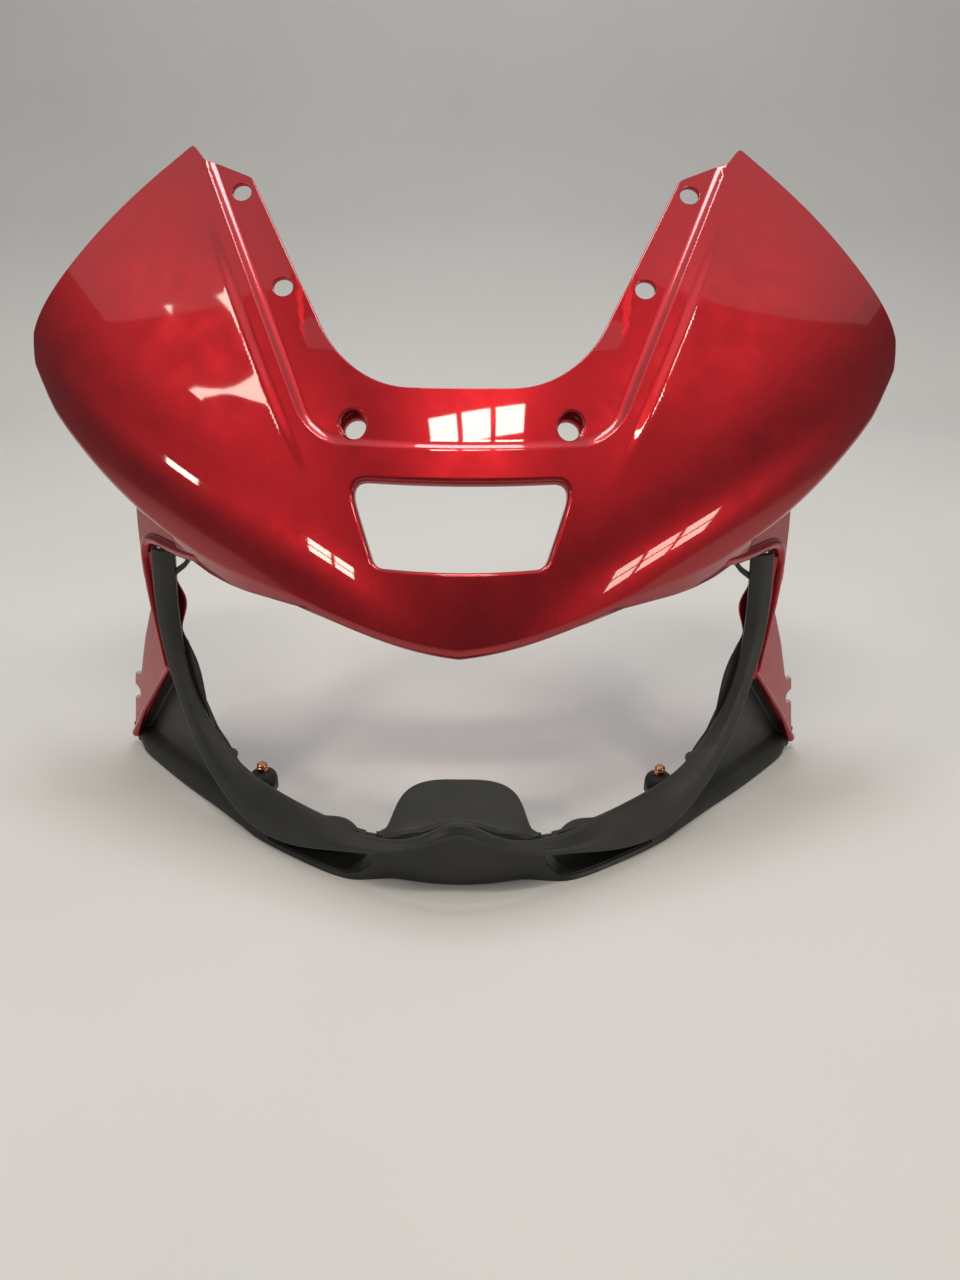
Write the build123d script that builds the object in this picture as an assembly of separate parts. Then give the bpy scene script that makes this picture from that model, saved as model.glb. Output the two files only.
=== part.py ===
from build123d import *
import os
from math import acos, atan2, cos, exp, hypot, pi, sin

os.makedirs("parts", exist_ok=True)

# Upper and lower nose cowl of a road motorcycle, standing on its lower edge.
# Millimetres. X to the rider's left, Y from the nose towards the rider, Z up.
# Outlines are drawn in the front view as (x, z), and each skin is a depth y over that view.

# Upper cowl skin: a raked sheet, swept back to the sides, that rolls down along its lower edge
BEAK_Z = 136.5
BEAK_Y = 14.5
BEAK_R = 14.0
RAKE = 0.92
NOSE_ROUND = 110.0
WING_SWEEP = 0.33
NOSE_SWEEP = 0.52
SWEEP_FADE = 45.0
BROW_ROUND = 12.0
BROW_SLOPE = 0.165
BROW_LIFT = 76.0
BROW_POWER = 3.5
BROW_ROLL = 16.0
BROW_FADE = 18.0
SKIN_T = 4.2
FLANGE_T = 3.5
FLANGE_D = 16.0
FLANGE_END = 6.0
FLANGE_TAPER = 200.0

# Wing outline
WING_HALF = 282.0
WING_Z = 270.0
REAR_EDGE = [(257.0, 324.5), (210.0, 369.0)]
TIP_X = 181.0
TIP_Z = 392.0
TIP_DROP = 9.0

# Crease beside the windscreen on each wing, fading out at both ends
RIDGE_H = 2.5
RIDGE_BAND = 5.5
RIDGE_FADE = 45.0
RIDGE_FOOT_X = 88.0
RIDGE_FOOT_Z = 211.0
RIDGE_TOP_X = 170.0
RIDGE_TOP_Z = 354.0
RIDGE_BULGE = 2.0
RIDGE_RISE = 45.0
RIDGE_SINK = 1.0

# Windscreen ledge, sunk below the skin, deeper along its sides, and the cut-out above it
LEDGE_Z = 233.8
LEDGE_HALF = 89.0
LEDGE_SLOPE = 0.556
LEDGE_R = 16.0
LEDGE_DROP = 6.0
LEDGE_FOOT_DROP = 1.6
LEDGE_DEEP_X = 80.0
LEDGE_DEEP_Z = 268.0
LEDGE_BLEND = 12.0
STEP_T = 3.5
CUTOUT_Z = 262.6
CUTOUT_HALF = 31.0
CUTOUT_R = 68.0
LEDGE_TOP_X = 139.0
LEDGE_TOP_Z = 372.4
LEDGE_TOP_R = 6.0

# Windscreen screw holes, three pairs; the lower pair has moulded cups
HOLE_D = 13.0
LOW_HOLE = (63.4, 243.3)
MID_HOLE = (112.2, 310.9)
TOP_HOLE = (144.9, 363.3)
CUP_W = 16.2
CUP_TALL = 19.6
CUP_DEPTH = 6.0
CUP_WALL = 2.5
CUP_L = 10.0

# Vent in the nose
VENT_TOP = 217.8
VENT_BOTTOM = 178.2
VENT_TOP_HALF = 64.5
VENT_BOTTOM_HALF = 48.2
VENT_R = 8.0

# Flank: the surface shared by the red legs and the black skirt behind them
CHIN_Y = -10.0
FLANK_SWEEP = 1.35
FLANK_ROUND = 165.0
FLANK_LEAN = 0.14
FLOOR_Z = -4.0
LAP_GAP = 0.4
BEAD_H = 3.0
LEG_SHELF_D = 46.0
LEG_SHELF_X = 191.0
LEG_SHELF_W = 46.0

# Skirt
LIP_H = 3.0
LIP_TALL = 4.0
INLET_R = 2.5
CHIN_FLOOR_T = 3.0
CHIN_FLOOR_D = 26.0
CHIN_FLOOR_HALF = 150.0

# Headlight surround: a channel that stands proud of the flank
RIM_PROUD = 8.0
RIM_T = 4.0
RIM_WALL = 3.0
RIM_CROWN = 1.2
RIM_STATIONS = 13
RIM_D = 7.4
RIM_TURN = (-0.28, 0.33)
RIM_TURN_END = 0.7

# Red liner strip behind each strut
LINER_BACK = 12.0
LINER_T = 3.0
LINER_LAP = 6.0
LINER_SHOW = 0.5
LINER_WAVE = 2.5
LINER_PITCH = 0.16
LINER_START = 0.02
LINER_STEP = 0.035

# Tongue and small tabs behind the rim
TONGUE_Z = 22.0
TONGUE_TILT = 0.12
TONGUE_D = 59.5
TAB_Z = 24.0
TAB_T = 3.0

# Small hook beside each strut top
HOOK_FRONT = 1.0
HOOK_D = 6.0

# Lamp rests: a brass stud in a rubber seat on a small shelf
REST_AT = 0.53
REST_BACK = 16.0
REST_DROP = 9.5
REST_PLATE_R = 13.0
REST_PLATE_T = 3.0
SEAT_D = 18.0
SEAT_TOP_D = 10.5
SEAT_H = 7.0
SEAT_NECK_D = 11.5
SEAT_NECK_FIT = 0.15
SEAT_BARB_D = 14.0
SEAT_BARB_H = 3.0
STUD_D = 7.0
STUD_FIT = 0.05
STUD_H = 9.0
STUD_CHAMFER = 1.2

# Joining screws from behind, two in each strut
SCREW_AT = (0.07, 0.22)
BOSS_R = 4.0
SCREW_D = 4.0
SCREW_TIP = 4.0
PILOT_FIT = 0.05
PILOT_SPARE = 1.0
SCREW_CLEAR = 0.3
HEAD_D = 8.0
HEAD_H = 2.6
HEAD_SEAT = 0.6
HEAD_CLEAR = 0.5

FAR = 400.0


# Shapes as formulas
def ridge_x(z):
    t = (z - RIDGE_FOOT_Z) / (RIDGE_TOP_Z - RIDGE_FOOT_Z)
    return RIDGE_FOOT_X + (RIDGE_TOP_X - RIDGE_FOOT_X) * t + RIDGE_BULGE * sin(pi * t)


def ridge_rise(z):
    t = min(z - RIDGE_FOOT_Z, RIDGE_TOP_Z - z, RIDGE_RISE) / RIDGE_RISE
    return (RIDGE_H + RIDGE_SINK) * t * t * (3 - 2 * t) - RIDGE_SINK


def brow_z(x):
    rise = BROW_SLOPE * (hypot(x, BROW_ROUND) - BROW_ROUND)
    return BEAK_Z + rise + BROW_LIFT * (abs(x) / WING_HALF) ** BROW_POWER


def skin_y(x, z):
    sweep = WING_SWEEP + NOSE_SWEEP * exp(-(z - BEAK_Z) / SWEEP_FADE)
    roll = BROW_ROLL * (2 / (1 + exp((z - brow_z(x)) / BROW_FADE)) - 1)
    return BEAK_Y + RAKE * (z - BEAK_Z) + sweep * (hypot(x, NOSE_ROUND) - NOSE_ROUND) + roll


def ledge_y(x, z):
    low = 1 / (1 + exp((z - LEDGE_DEEP_Z) / LEDGE_BLEND))
    inner = 1 / (1 + exp((abs(x) - LEDGE_DEEP_X) / LEDGE_BLEND))
    return skin_y(x, z) + LEDGE_DROP - (LEDGE_DROP - LEDGE_FOOT_DROP) * low * inner


def flange_back(x, z):
    t = min(max((abs(x) - FLANGE_TAPER) / (WING_HALF - FLANGE_TAPER), 0.0), 1.0)
    return skin_y(x, z) + FLANGE_D + (FLANGE_END - FLANGE_D) * t * t * (3 - 2 * t)


def flank_y(x, z):
    return CHIN_Y + FLANK_SWEEP * (hypot(x, FLANK_ROUND) - FLANK_ROUND) + FLANK_LEAN * z


# Drawing helpers
def sheet(depth, half_width, low, high, columns, rows):
    points = []
    for i in range(rows):
        z = low + (high - low) * i / (rows - 1)
        xs = [half_width * (2 * k / (columns - 1) - 1) for k in range(columns)]
        points.append([(x, depth(x, z), z) for x in xs])
    return Face.make_surface_from_array_of_points(points)


def front_face(half_edges):
    half = Curve() + half_edges
    return make_face(half + mirror(half, Plane.YZ))


def prism(face):
    flat = Plane.XZ * face
    return Solid.extrude(Pos(0, -FAR, 0) * flat.face(), (0, 2 * FAR, 0))


def slab(face, start, depth):
    return Solid.extrude(Pos(0, start, 0) * face, (0, depth, 0))


def both(solid):
    return solid + mirror(solid, Plane.YZ)


def rod(spot, radius, front, back):
    return Pos(spot[0], (front + back) / 2, spot[2]) * Rot(90, 0, 0) * Cylinder(radius, back - front)


# Upper skin, with a crease that stands out from it in the middle of its run
skin_area = (WING_HALF + 18.0, BEAK_Z - 24.5, TIP_Z + 16.0, 21, 15)
skin = sheet(skin_y, *skin_area)
ledge = sheet(ledge_y, *skin_area)
behind_flange = slab(sheet(flange_back, *skin_area), 0, FAR)


def ridge_section(z):
    crest = ridge_x(z)
    foot = crest - RIDGE_BAND
    end = crest + RIDGE_FADE
    corners = [
        (foot, skin_y(foot, z) + RIDGE_SINK, z),
        (crest, skin_y(crest, z) - ridge_rise(z), z),
        (end, skin_y(end, z) + RIDGE_SINK, z),
        (crest, skin_y(crest, z) + 2.5 * RIDGE_SINK, z),
    ]
    return Wire.make_polygon(corners, close=True)


ridge_run = RIDGE_TOP_Z - RIDGE_FOOT_Z
ridge = Solid.make_loft([ridge_section(RIDGE_FOOT_Z + ridge_run * k / 7) for k in range(8)])

# Wing outline: lower edge, rear edge, ledge top, and the cut-out's tangent line and arc
lower_edge = [(s * WING_HALF, brow_z(s * WING_HALF)) for s in (0, 0.1, 0.22, 0.48, 0.71, 0.9)]
rear_edge = [(WING_HALF, WING_Z), *REAR_EDGE, (TIP_X, TIP_Z)]
ledge_end = (LEDGE_HALF + LEDGE_SLOPE * (TIP_Z - TIP_DROP - LEDGE_Z), TIP_Z - TIP_DROP)
ledge_top = (LEDGE_TOP_X, LEDGE_TOP_Z)
arc_z = CUTOUT_Z + CUTOUT_R
reach = hypot(LEDGE_TOP_X - CUTOUT_HALF, LEDGE_TOP_Z - arc_z)
touch = atan2(LEDGE_TOP_Z - arc_z, LEDGE_TOP_X - CUTOUT_HALF) - acos(CUTOUT_R / reach)
middle = (touch - pi / 2) / 2
arc_end = (CUTOUT_HALF + CUTOUT_R * cos(touch), arc_z + CUTOUT_R * sin(touch))
arc_mid = (CUTOUT_HALF + CUTOUT_R * cos(middle), arc_z + CUTOUT_R * sin(middle))

outline = front_face(
    [
        Spline(*lower_edge, *rear_edge),
        Line((TIP_X, TIP_Z), ledge_end),
        Line(ledge_end, ledge_top),
        Line(ledge_top, arc_end),
        ThreePointArc(arc_end, arc_mid, (CUTOUT_HALF, CUTOUT_Z)),
        Line((CUTOUT_HALF, CUTOUT_Z), (0, CUTOUT_Z)),
    ]
)
outline = fillet([v for v in outline.vertices() if abs(v.Y - LEDGE_TOP_Z) < 0.01], LEDGE_TOP_R)
outline = fillet([v for v in outline.vertices() if abs(v.Y - BEAK_Z) < 0.01], BEAK_R)


def ledge_face(grow):
    foot = LEDGE_Z - grow
    half = LEDGE_HALF + grow
    top = TIP_Z + FLANGE_D
    wide = half + LEDGE_SLOPE * (top - foot)
    face = make_face(Polyline((-half, foot), (half, foot), (wide, top), (-wide, top), close=True))
    return fillet([v for v in face.vertices() if v.Y < LEDGE_Z + 1], LEDGE_R + grow)


# Inside of the lower edge, drawn by shrinking it towards the middle of the screen
shrink = 1 - FLANGE_T / (arc_z - BEAK_Z)
inner_edge = [(x * shrink, arc_z + (z - arc_z) * shrink) for x, z in lower_edge + rear_edge[:1]]
side, top = 0.9 * FAR, 1.2 * FAR
relief_face = front_face(
    [
        Spline(*inner_edge),
        Line(inner_edge[-1], (side, WING_Z + 30.0)),
        Line((side, WING_Z + 30.0), (side, top)),
        Line((side, top), (0, top)),
    ]
)
relief = prism(relief_face)

vent_corners = [
    (-VENT_BOTTOM_HALF, VENT_BOTTOM),
    (VENT_BOTTOM_HALF, VENT_BOTTOM),
    (VENT_TOP_HALF, VENT_TOP),
    (-VENT_TOP_HALF, VENT_TOP),
]
vent_face = make_face(Polyline(*vent_corners, close=True))
vent_face = fillet(vent_face.vertices(), VENT_R)

upper = (slab(skin, 0, 2 * FLANGE_D) + both(ridge)) & prism(outline)
upper = upper - behind_flange
upper = upper - (slab(ledge, -2 * FLANGE_D, 2 * FLANGE_D) & prism(ledge_face(0)))
upper = upper - (slab(ledge, SKIN_T, 2 * FLANGE_D) & relief)
upper = upper - ((slab(skin, SKIN_T, LEDGE_DROP + 1.0) & relief) - prism(ledge_face(STEP_T)))
upper = upper - prism(vent_face)


# Windscreen holes, square to the slope of the nose
def at_ledge(spot, side):
    x, z = side * spot[0], spot[1]
    return Plane(origin=(x, ledge_y(x, z), z), x_dir=(1, 0, 0), z_dir=(0, -1, RAKE))


for side in (-1, 1):
    low = at_ledge(LOW_HOLE, side)
    cup = extrude(Ellipse(CUP_W / 2 + CUP_WALL, CUP_TALL / 2 + CUP_WALL), CUP_L)
    upper = upper + low * Pos(0, 0, -CUP_L - 1) * cup
    upper = upper - low * Pos(0, 0, -CUP_DEPTH) * extrude(Ellipse(CUP_W / 2, CUP_TALL / 2), FLANGE_D)
    for spot in (LOW_HOLE, MID_HOLE, TOP_HOLE):
        upper = upper - at_ledge(spot, side) * Cylinder(HOLE_D / 2, 4 * FLANGE_D)

# Red leg below each wing: a bead arched over the strut in front, notched tabs behind
flank = sheet(flank_y, 280.0, FLOOR_Z - 8.0, 228.0, 15, 7)
leg_arch = [(164, 168), (168, 161), (174, 157.6), (199.5, 157.4), (204, 153.5), (203.8, 140)]
leg_inner = [*leg_arch, (201, 124), (196, 98), (192, 75)]
leg_foot = [(226.5, 20), (235, 2), (237.5, 9), (233.5, 35)]
leg_notch = [(227.5, 38), (227.5, 43), (232.5, 44), (231, 54), (224, 57)]
leg_rear = [(216.5, 86), (206.5, 114), (214, 133), (215.5, 165), (215, 202), (190, 189), (170, 178)]
leg_face = make_face(Polyline(*leg_inner, *leg_foot, *leg_notch, *leg_rear, close=True))
bead_arch = [(160, 172), (171, 165.5), (180, 164.4), (200, 164.4), (209, 158), (210, 146)]
bead_edge = [*bead_arch, (207.5, 124), (201.5, 97), (196, 75)]
open_side = [(180, 60), (215, -20), (300, -20), (300, 260), (150, 260)]
recess = prism(make_face(Polyline(*bead_edge, *open_side, close=True)))
leg = slab(flank, -BEAD_H, SKIN_T + BEAD_H) & prism(leg_face)
leg = leg - (slab(flank, -BEAD_H - FLANGE_D, BEAD_H + FLANGE_D) & recess)

# Return of the lower edge that carries the leg
leg_shelf_box = Pos(LEG_SHELF_X, 0, brow_z(LEG_SHELF_X)) * Box(LEG_SHELF_W, 2 * FAR, 60)
leg_shelf = slab(skin, SKIN_T / 8, LEG_SHELF_D) & (prism(outline) - relief) & leg_shelf_box
leg_shelf = leg_shelf - slab(flank, 0.75 * SKIN_T, FAR)

# Headlight surround as a channel lofted from the strut top to the middle of the chin
rim_outer = Spline((199.3, 156.5), (195, 101), (181, 61), (160, 25), (128, 6.5), (70, 16.5), (25, 29), (0, 37.5))
rim_inner = Spline((182.8, 156.5), (179, 100), (162, 57), (135, 32.5), (97, 27), (50, 23.5), (24, 31), (0, 44))


def rim_wide(t):
    return (rim_outer @ t - rim_inner @ t).length


def rim_spot(t, across, back):
    wide = rim_wide(t)
    outer = rim_outer @ t
    spot = outer + (rim_inner @ t - outer) * (across / wide)
    turn = RIM_TURN[0] + (RIM_TURN[1] - RIM_TURN[0]) * min(t / RIM_TURN_END, 1.0)
    return (spot.X, flank_y(outer.X, outer.Y) - RIM_PROUD + turn * across + back, spot.Y)


def rim_section(t):
    w, d = rim_wide(t), RIM_D
    wall = min(RIM_WALL, 0.4 * w)
    front = [(0, 0), (w / 2, -RIM_CROWN), (w, 0)]
    inside = [(w, d), (w - wall, d), (w - wall, RIM_T), (wall, RIM_T), (wall, d), (0, d)]
    return Wire.make_polygon([rim_spot(t, a, b) for a, b in front + inside], close=True)


rim = Solid.make_loft([rim_section(k / (RIM_STATIONS - 1)) for k in range(RIM_STATIONS)])


# Red liner strip with a wavy inner edge
def liner_section(t, grow):
    wave = LINER_WAVE * sin(2 * pi * (t - 2 * LINER_START) / LINER_PITCH)
    edge = rim_wide(t) + LINER_SHOW + wave + 10 * grow
    lap = LINER_LAP + 10 * grow
    front, back = LINER_BACK - grow, LINER_BACK + LINER_T + 10 * grow
    spots = [(-lap, front), (edge, front), (edge, back), (-lap, back)]
    return Wire.make_polygon([rim_spot(t, a, b) for a, b in spots], close=True)


liner_steps = [LINER_START + LINER_STEP * k for k in range(8)]
liner = Solid.make_loft([liner_section(t, 0) for t in liner_steps])
liner_room = Solid.make_loft([liner_section(t, LAP_GAP) for t in liner_steps])
red_side = leg + leg_shelf + liner

# Skirt with a proud lip along the bench, an inlet on each side and a floor behind the chin
skirt_low = [(0, FLOOR_Z), (222, FLOOR_Z), (231, FLOOR_Z + 2), (236, 3), (235, 10)]
skirt_side = [(229, 22), (200, 71), (186, 71), (176, 58), (165, 40), (152, 24), (138, 17)]
skirt_top = [(122, 14), (100, 17), (70, 20.5), (53, 23), (25, 31), (0, 40)]
skirt_face = front_face([Polyline(*skirt_low, *skirt_side, *skirt_top)])
skirt_front = SKIN_T + LAP_GAP
lip_top = FLOOR_Z + LIP_TALL
above_lip = Pos(0, 0, lip_top + FAR / 2) * Box(2 * FAR, 4 * FAR, FAR)
skirt = slab(flank, skirt_front - LIP_H, SKIN_T + LIP_H) & prism(skirt_face)
skirt = skirt - (slab(flank, skirt_front - LIP_H - FLANGE_D, LIP_H + FLANGE_D) & above_lip)
inlet_face = make_face(Polyline((126, 1.5), (64, 13), (54, 9), (60, 1), close=True))
inlet_face = fillet([v for v in inlet_face.vertices() if v.X < 100], INLET_R)
skirt = skirt - prism(inlet_face) - mirror(prism(inlet_face), Plane.YZ)
floor_box = Pos(0, 0, FLOOR_Z + CHIN_FLOOR_T / 2) * Box(2 * CHIN_FLOOR_HALF, 2 * FAR, CHIN_FLOOR_T)
chin_floor = slab(flank, skirt_front + SKIN_T / 4, CHIN_FLOOR_D) & floor_box

# Tongue behind the middle of the rim and a small tab on each side of it
tongue_face = front_face(
    [
        Polyline((0, -2), (56, -2), (50, 5), (46, 11), (42, 20)),
        Polyline((42, 20), (37.7, 36.6), (32.6, 48.5), (24, 56), (14, TONGUE_D), (0, TONGUE_D)),
    ]
)
tongue_plane = Plane(origin=(0, 0, TONGUE_Z), x_dir=(1, 0, 0), z_dir=(0, -TONGUE_TILT, 1))
tongue = tongue_plane * extrude(tongue_face, RIM_WALL)
tab_edge = [(55, 0), (55.5, 6), (58, 12.5), (64.5, 21.5), (74.5, 26), (88, 27), (100, 33)]
tab_root = [(100, 26), (78, 10), (64, 2.5)]
tab_face = make_face(Polyline(*tab_edge, *tab_root, close=True))
tab = Pos(0, 0, TAB_Z) * extrude(tab_face, TAB_T)

# Shelf of each lamp rest, hung behind the rim's inner edge
rest = rim_spot(REST_AT, rim_wide(REST_AT), REST_BACK)
rest_top = rest[2] - REST_DROP
rest_plate = Pos(rest[0], rest[1], rest_top - REST_PLATE_T / 2) * Cylinder(REST_PLATE_R, REST_PLATE_T)
rest_arm = Pos(rest[0], rest[1] - FAR / 2, rest_top - REST_PLATE_T / 2)
rest_arm = rest_arm * Box(2 * REST_PLATE_R, FAR, REST_PLATE_T)
rest_plate = (rest_plate + rest_arm) & slab(flank, -RIM_PROUD / 3, FAR)
neck_hole = Pos(rest[0], rest[1], rest_top) * Cylinder(SEAT_NECK_D / 2 + SEAT_NECK_FIT, 6 * REST_PLATE_T)

# Hook at the inner side of the strut top
hook_low = [(186, 138.5), (177, 145.5), (171.5, 152.5), (169.5, 161)]
hook_high = [(172, 161.5), (174, 153.8), (179, 147.6), (186, 142.5)]
hook_face = make_face(Polyline(*hook_low, *hook_high, close=True))
hook_front = rim_spot(0, rim_wide(0), HOOK_FRONT)[1]
hook_box = Pos(0, hook_front + HOOK_D / 2, 0) * Box(2 * FAR, HOOK_D, 2 * FAR)
hook = prism(hook_face) & hook_box

# Screw places in the strut's channel, and the bosses that take them
screw_spots = [rim_spot(t, rim_wide(t) / 2, 0) for t in SCREW_AT]
seat_back = LINER_BACK + LINER_T - HEAD_SEAT
bosses = []
for spot in screw_spots:
    bosses.append(rod(spot, BOSS_R, spot[1] + RIM_T - 1.0, spot[1] + LINER_BACK + LINER_T) - liner_room)

rims = both(rim)
lower = skirt + chin_floor + rims + tongue
for piece in (tab, rest_plate, hook, *bosses):
    lower = lower + piece + mirror(piece, Plane.YZ)
screws = []
for spot in screw_spots:
    pilot = rod(spot, SCREW_D / 2 + PILOT_FIT, spot[1] + SCREW_TIP - PILOT_SPARE, spot[1] + seat_back)
    lower = lower - pilot - mirror(pilot, Plane.YZ)
    through = rod(spot, SCREW_D / 2 + SCREW_CLEAR, spot[1] + SCREW_TIP, spot[1] + seat_back + 1.0)
    counter = rod(spot, HEAD_D / 2 + HEAD_CLEAR, spot[1] + seat_back, spot[1] + seat_back + 2 * FLANGE_D)
    red_side = red_side - through - counter
    shank = rod(spot, SCREW_D / 2, spot[1] + SCREW_TIP, spot[1] + seat_back + 1.0)
    head = rod(spot, HEAD_D / 2, spot[1] + seat_back, spot[1] + seat_back + HEAD_H)
    screw = shank + head
    screws += [screw, mirror(screw, Plane.YZ)]
lower = lower - neck_hole - mirror(neck_hole, Plane.YZ)
upper = upper + red_side
upper = upper + mirror(red_side, Plane.YZ)

# Rubber seat as a grommet, and the stud standing in it
bore = STUD_D / 2 + STUD_FIT
barb_top = -REST_PLATE_T
seat_profile = Polyline(
    (bore, barb_top - SEAT_BARB_H),
    (SEAT_NECK_D / 2, barb_top - SEAT_BARB_H),
    (SEAT_BARB_D / 2, barb_top),
    (SEAT_NECK_D / 2, barb_top),
    (SEAT_NECK_D / 2, 0),
    (SEAT_D / 2, 0),
    (SEAT_D / 2 - 0.6, 0.45 * SEAT_H),
    (SEAT_TOP_D / 2 + 1.5, 0.85 * SEAT_H),
    (SEAT_TOP_D / 2, SEAT_H),
    (bore, SEAT_H),
    close=True,
)
seat = Pos(rest[0], rest[1], rest_top) * revolve(Plane.XZ * make_face(seat_profile), Axis.Z)
stud_foot = barb_top - SEAT_BARB_H
stud_l = SEAT_H + STUD_H - stud_foot
stud = Pos(0, 0, stud_foot + stud_l / 2) * Cylinder(STUD_D / 2, stud_l)
stud = chamfer(stud.faces().sort_by(Axis.Z)[-1].edges(), STUD_CHAMFER)
stud = Pos(rest[0], rest[1], rest_top) * stud

pieces = {
    "upper_cowl": upper,
    "lower_cowl": lower,
    "lamp_seat_left": seat,
    "lamp_seat_right": mirror(seat, Plane.YZ),
    "lamp_stud_left": stud,
    "lamp_stud_right": mirror(stud, Plane.YZ),
    "joining_screws": Compound(children=screws),
}

# Origin on the bench, under the middle of the cowl
lower_box = lower.bounding_box()
upper_box = upper.bounding_box()
mid_y = (min(lower_box.min.Y, upper_box.min.Y) + max(lower_box.max.Y, upper_box.max.Y)) / 2
for name, piece in pieces.items():
    export_step(Pos(0, -mid_y, -FLOOR_Z) * piece, f"parts/{name}.step")
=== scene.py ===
import math

import bpy
import numpy as np
from mathutils import Matrix, Vector
from mathutils.geometry import delaunay_2d_cdt
from mathutils.kdtree import KDTree


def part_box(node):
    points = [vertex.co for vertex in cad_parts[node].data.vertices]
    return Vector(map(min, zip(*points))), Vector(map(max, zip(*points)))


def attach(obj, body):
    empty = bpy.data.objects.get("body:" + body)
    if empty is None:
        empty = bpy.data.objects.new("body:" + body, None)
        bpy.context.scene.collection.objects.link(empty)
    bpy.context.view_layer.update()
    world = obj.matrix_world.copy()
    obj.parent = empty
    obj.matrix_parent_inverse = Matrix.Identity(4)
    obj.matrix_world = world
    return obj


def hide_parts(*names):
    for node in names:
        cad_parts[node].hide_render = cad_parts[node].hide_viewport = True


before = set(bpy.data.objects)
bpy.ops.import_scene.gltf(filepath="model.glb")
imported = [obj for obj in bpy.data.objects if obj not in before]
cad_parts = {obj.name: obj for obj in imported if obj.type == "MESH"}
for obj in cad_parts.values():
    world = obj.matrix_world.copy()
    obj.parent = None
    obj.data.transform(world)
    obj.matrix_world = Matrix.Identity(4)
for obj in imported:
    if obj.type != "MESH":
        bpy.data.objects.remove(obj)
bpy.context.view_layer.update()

# Sizes in millimetres, in the drawing frame: X to the rider's left, Y from the nose back, Z up
MM = 0.001
BEAK_Y = 14.5
BEAK_Z = 136.5
FLOOR_Z = -4.0
SHIFT_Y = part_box("upper_cowl")[0][1] / MM - BEAK_Y
SHIFT = np.array([0.0, SHIFT_Y, -FLOOR_Z])
SIDES = ((1, "left"), (-1, "right"))
QUARTER = math.pi / 2

# Upper cowl skin
RAKE = 0.92
NOSE_ROUND, WING_SWEEP, NOSE_SWEEP, SWEEP_FADE = 110.0, 0.33, 0.52, 45.0
BROW_ROUND, BROW_SLOPE, BROW_LIFT, BROW_POWER = 12.0, 0.165, 76.0, 3.5
BROW_ROLL, BROW_FADE = 16.0, 18.0
BROW_STOPS = (0, 0.1, 0.22, 0.48, 0.71, 0.9)
WING_HALF, WING_Z = 282.0, 261.0
REAR_EDGE = [(255.5, 323.5), (210.0, 369.0)]
TIP_X, TIP_Z, TIP_DROP, TIP_R, TIP_END_R = 181.0, 392.0, 9.0, 2.5, 3.0
SKIN_T = 2.8

# Ridges beside the ledge, and the ledge with its step, darts and cut-out
RIDGE_H, RIDGE_BAND, RIDGE_FADE, RIDGE_SOFT = 2.5, 5.5, 45.0, 0.10
RIDGE_FOOT_X, RIDGE_FOOT_Z, RIDGE_TOP_X, RIDGE_TOP_Z = 88.0, 211.0, 170.0, 354.0
RIDGE_BULGE, RIDGE_RISE = 2.0, 45.0
LEDGE_Z, LEDGE_HALF, LEDGE_SLOPE, LEDGE_R = 233.8, 89.0, 0.556, 16.0
LEDGE_LEAN = math.hypot(1, LEDGE_SLOPE)
LEDGE_DROP, LEDGE_FOOT_DROP, LEDGE_BLEND = 6.0, 1.6, 12.0
LEDGE_DEEP_X, LEDGE_DEEP_Z = 80.0, 268.0
LEDGE_TOP_X, LEDGE_TOP_Z, LEDGE_TOP_R = 139.0, 372.4, 6.0
STEP_SOFT, STEP_RUN, STEP_GROWTH = 0.22, 1.5, 0.75
DART_LOW, DART_HIGH, DART_DROP = (94.0, 275.5), (106.0, 319.0), 1.8
DART_BEND, DART_INNER, DART_LEAST, DART_RISE = 0.6, 0.48, 0.4, 0.5
CUTOUT_Z, CUTOUT_HALF, CUTOUT_R = 262.6, 31.0, 68.0

# Screw holes, cups and vent
HOLE_R, HOLE_EDGE = 6.5, 0.7
HOLES = [(63.4, 243.3), (112.2, 310.9), (144.9, 363.3)]
CUP_W, CUP_TALL, CUP_DEPTH, CUP_EDGE = 16.2, 19.6, 6.0, 1.0
CUP_LAP, CUP_BEVEL, CUP_FLOOR_T = 0.6, 0.4, 2.4
VENT = [(48.2, 178.2), (64.5, 217.8)]
VENT_R, VENT_EDGE, VENT_RETURN = 8.0, 2.9, 3.0

# Rows of extra points, by distance from the ledge's step, a ridge, the leg line or the floor
STEP_ROWS = (-1.4, -0.7, -0.35, 0.0, 0.35, 0.75, 1.3, 2.0, 2.9, 4.0, 5.2, 6.4)
RIDGE_ROWS = (-7.6, -6.5, -5.8, -5.2, -4.4, -3.2, -2.0, -1.1, -0.5, 0.1, 0.8, 1.8, 3.4)
LEG_ROWS = (-9, -7, -5, -3, -1, 1)
LIP_ROWS = (4.4, 5.4, 6.4, 7.4, 8.4, 9.4)
ROW_GAP, ROW_CELL = 1.0, 0.45

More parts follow.
